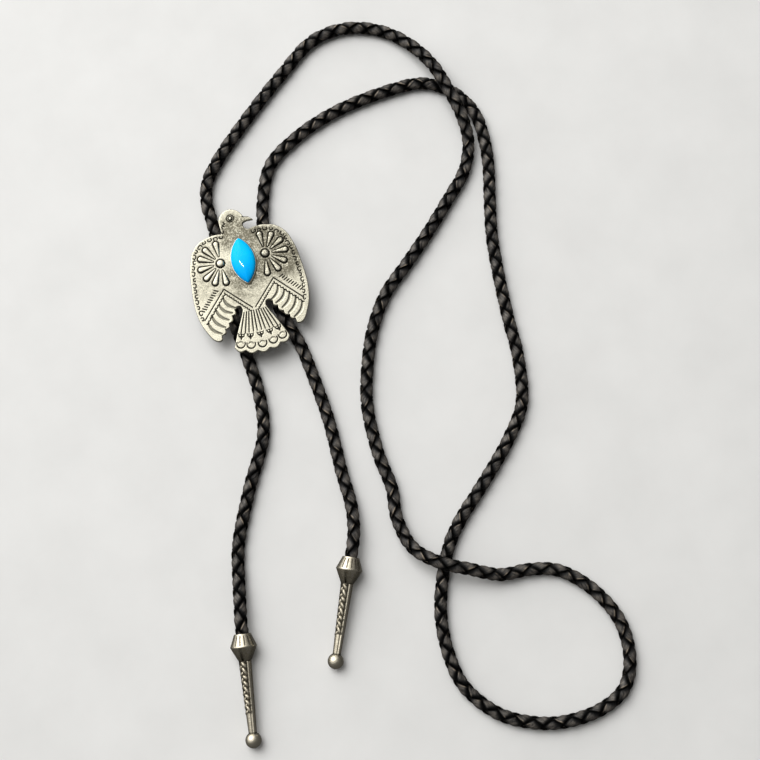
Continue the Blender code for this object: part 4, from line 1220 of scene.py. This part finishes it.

# %% [markdown]
# ## Black leather
# The laces were cut from black leather. Their faces shine softly and fine lines run along each
# one. Each face is painted lighter in its middle and darker towards its ends and edges, as
# shade, and painted beige highlights run along parts of its cut edges. Deep between the laces
# almost no light comes back, so the colour there is painted close to black.

# %% Leather material


def make_leather():
    material, tree, shader = new_material("black_leather")
    lift = value_of(tree, "lift")
    across = value_of(tree, "across")
    along = value_of(tree, "along")
    offset = times(tree, value_of(tree, "lace"), 7.3)
    grains = []
    for finely, scale in ((1.1, 120.0), (3.4, 300.0)):
        inputs = {"X": times(tree, across, finely), "Y": times(tree, along, scale), "Z": offset}
        grains.append(noise(tree, 2.6, 4.0, 0.65, add(tree, "ShaderNodeCombineXYZ", inputs).outputs[0]))
    coarse, lines = grains
    wear = times(tree, noise(tree, 90, 3.0), 0.5)
    grey = stretch(tree, plus(tree, plus(tree, coarse, times(tree, lines, 0.8)), wear), 0.92, 1.38)
    out = maths(tree, "ABSOLUTE", across)
    shown = stretch(tree, lift, -0.05, 0.75)
    # Painted shade on each lace face: lighter where the lace is on top and in its middle, darker where it
    # dives under and towards its edges.
    painted_facet_shade = times(tree, stretch(tree, lift, 0.25, 1.0), stretch(tree, out, 0.25, 0.85, 1.0, 0.45))
    colour = mix(tree, times(tree, grey, painted_facet_shade), (0.006, 0.006, 0.007, 1), (0.185, 0.166, 0.144, 1))
    # Painted highlight: beige lines along parts of each lace's cut edges.
    edge = times(tree, stretch(tree, out, 0.62, 0.76), stretch(tree, coarse, 0.50, 0.60))
    colour = mix(tree, times(tree, edge, shown), colour, (0.27, 0.22, 0.165, 1))
    # Painted shade: between the laces, where a lace dives under and at its very edges, the colour is close to
    # black.
    face = times(tree, shown, stretch(tree, out, 0.78, 0.92, 1.0, 0.0))
    fill(tree, shader, {"Base Color": mix(tree, face, (0.001, 0.001, 0.001, 1), colour),
                        "Roughness": stretch(tree, lines, 0.3, 0.7, 0.40, 0.65), "Specular IOR Level": 0.12,
                        "Coat Weight": times(tree, face, stretch(tree, grey, 0.0, 1.0, 0.45, 1.0)),
                        "Coat Roughness": 0.36, "Coat IOR": 1.5,
                        "Normal": bumps(tree, grey, 0.9, 0.20 * MM)})
    return material


cord.data.materials.append(make_leather())
print("leather material added")

# %% [markdown]
# ## Table and light
# The tie lies on a plain pale table. A soft lamp at the upper left gives the shadows to the
# lower right. A small one lights the stone alone and gives it its highlight. A sky that is
# bright overhead and darker near the horizon makes every slope of the silver differ from the
# flats. The table is left out of what the metal mirrors.

# %% The table
FLOOR_HALF = 6.0
FLOOR_TONES = [(0.63, 0.63, 0.62, 1), (0.67, 0.67, 0.66, 1)]


def make_floor():
    corners = [(x * FLOOR_HALF, y * FLOOR_HALF, 0) for x, y in ((-1, -1), (1, -1), (1, 1), (-1, 1))]
    floor = new_piece("table", corners, [[0, 1, 2, 3]], smooth_shading=False)
    material, tree, shader = new_material("pale_table")
    clouds = stretch(tree, noise(tree, 40, 4.0), 0.3, 0.7)
    fill(tree, shader, {"Base Color": mix(tree, clouds, *FLOOR_TONES), "Roughness": 0.85})
    floor.data.materials.append(material)
    return floor


floor = make_floor()
floor.visible_glossy = False
floor.visible_diffuse = False

# %% Lamps and sky
WINDOW_WAY = Vector((-0.40, 0.66, 0.64)).normalized()
LAMP_AIM = Vector((0.0, STONE_FORWARD, 0.01))
LAMPS = {
    "window": {"way": (-0.40, 0.66, 1.45), "distance": 1.00, "size": (0.75, 0.75), "power": 8.6,
               "mirrored": False},
    "stone_glint": {"way": (-0.221, 0.177, 0.960), "distance": 0.80, "size": (0.07, 0.15), "power": 4.20,
                    "mirrored": True},
}
# How bright the sky is, from the side away from the window to the window: share, brightness.
# A colour ramp holds values up to 1, so they are parts of the strength.
SKY_STRENGTH = 3.0
SKY_TONES = [(0.0, 0.06), (0.5, 0.09), (0.76, 0.20), (0.87, 0.85), (0.94, 1.15), (1.0, 2.8)]
SKY_TINT = (1.0, 0.985, 0.96)
# What the camera itself sees beyond the table
BACKDROP = (0.42, 0.42, 0.415)


def make_lamp(name, way, distance, size, power, mirrored):
    lamp = bpy.data.objects.new(name, bpy.data.lights.new(name, "AREA"))
    lamp.data.shape = "RECTANGLE"
    lamp.data.size, lamp.data.size_y = size
    lamp.data.energy = power
    lamp.visible_glossy = mirrored
    way = Vector(way).normalized()
    lamp.location = LAMP_AIM + way * distance
    lamp.rotation_mode = "QUATERNION"
    lamp.rotation_quaternion = way.to_track_quat("Z", "Y")
    bpy.context.scene.collection.objects.link(lamp)
    return lamp


def make_sky():
    world = bpy.data.worlds.new("sky")
    bpy.context.scene.world = world
    world.use_nodes = True
    tree = world.node_tree
    way = add(tree, "ShaderNodeTexCoord").outputs["Generated"]
    facing = add(tree, "ShaderNodeVectorMath", {0: way, 1: WINDOW_WAY}, operation="DOT_PRODUCT")
    ramp = add(tree, "ShaderNodeValToRGB", {0: stretch(tree, facing.outputs["Value"], -1.0, 1.0)})
    ramp.color_ramp.interpolation = "B_SPLINE"
    for place, _ in SKY_TONES[1:-1]:
        ramp.color_ramp.elements.new(place)
    for element, (place, tone) in zip(ramp.color_ramp.elements, SKY_TONES):
        element.position = place
        element.color = (*(tone / SKY_STRENGTH * tint for tint in SKY_TINT), 1)
    backdrop = (*(value / SKY_STRENGTH for value in BACKDROP), 1)
    seen = add(tree, "ShaderNodeLightPath").outputs["Is Camera Ray"]
    fill(tree, tree.nodes["Background"], {"Color": mix(tree, seen, ramp.outputs["Color"], backdrop),
                                          "Strength": SKY_STRENGTH})


lamps = {name: make_lamp(name, **row) for name, row in LAMPS.items()}
only_stone = bpy.data.collections.new("lit by stone_glint")
only_stone.objects.link(stone)
lamps["stone_glint"].light_linking.receiver_collection = only_stone
make_sky()
bpy.context.scene.view_settings.view_transform = "Standard"
print("lamps:", list(lamps))
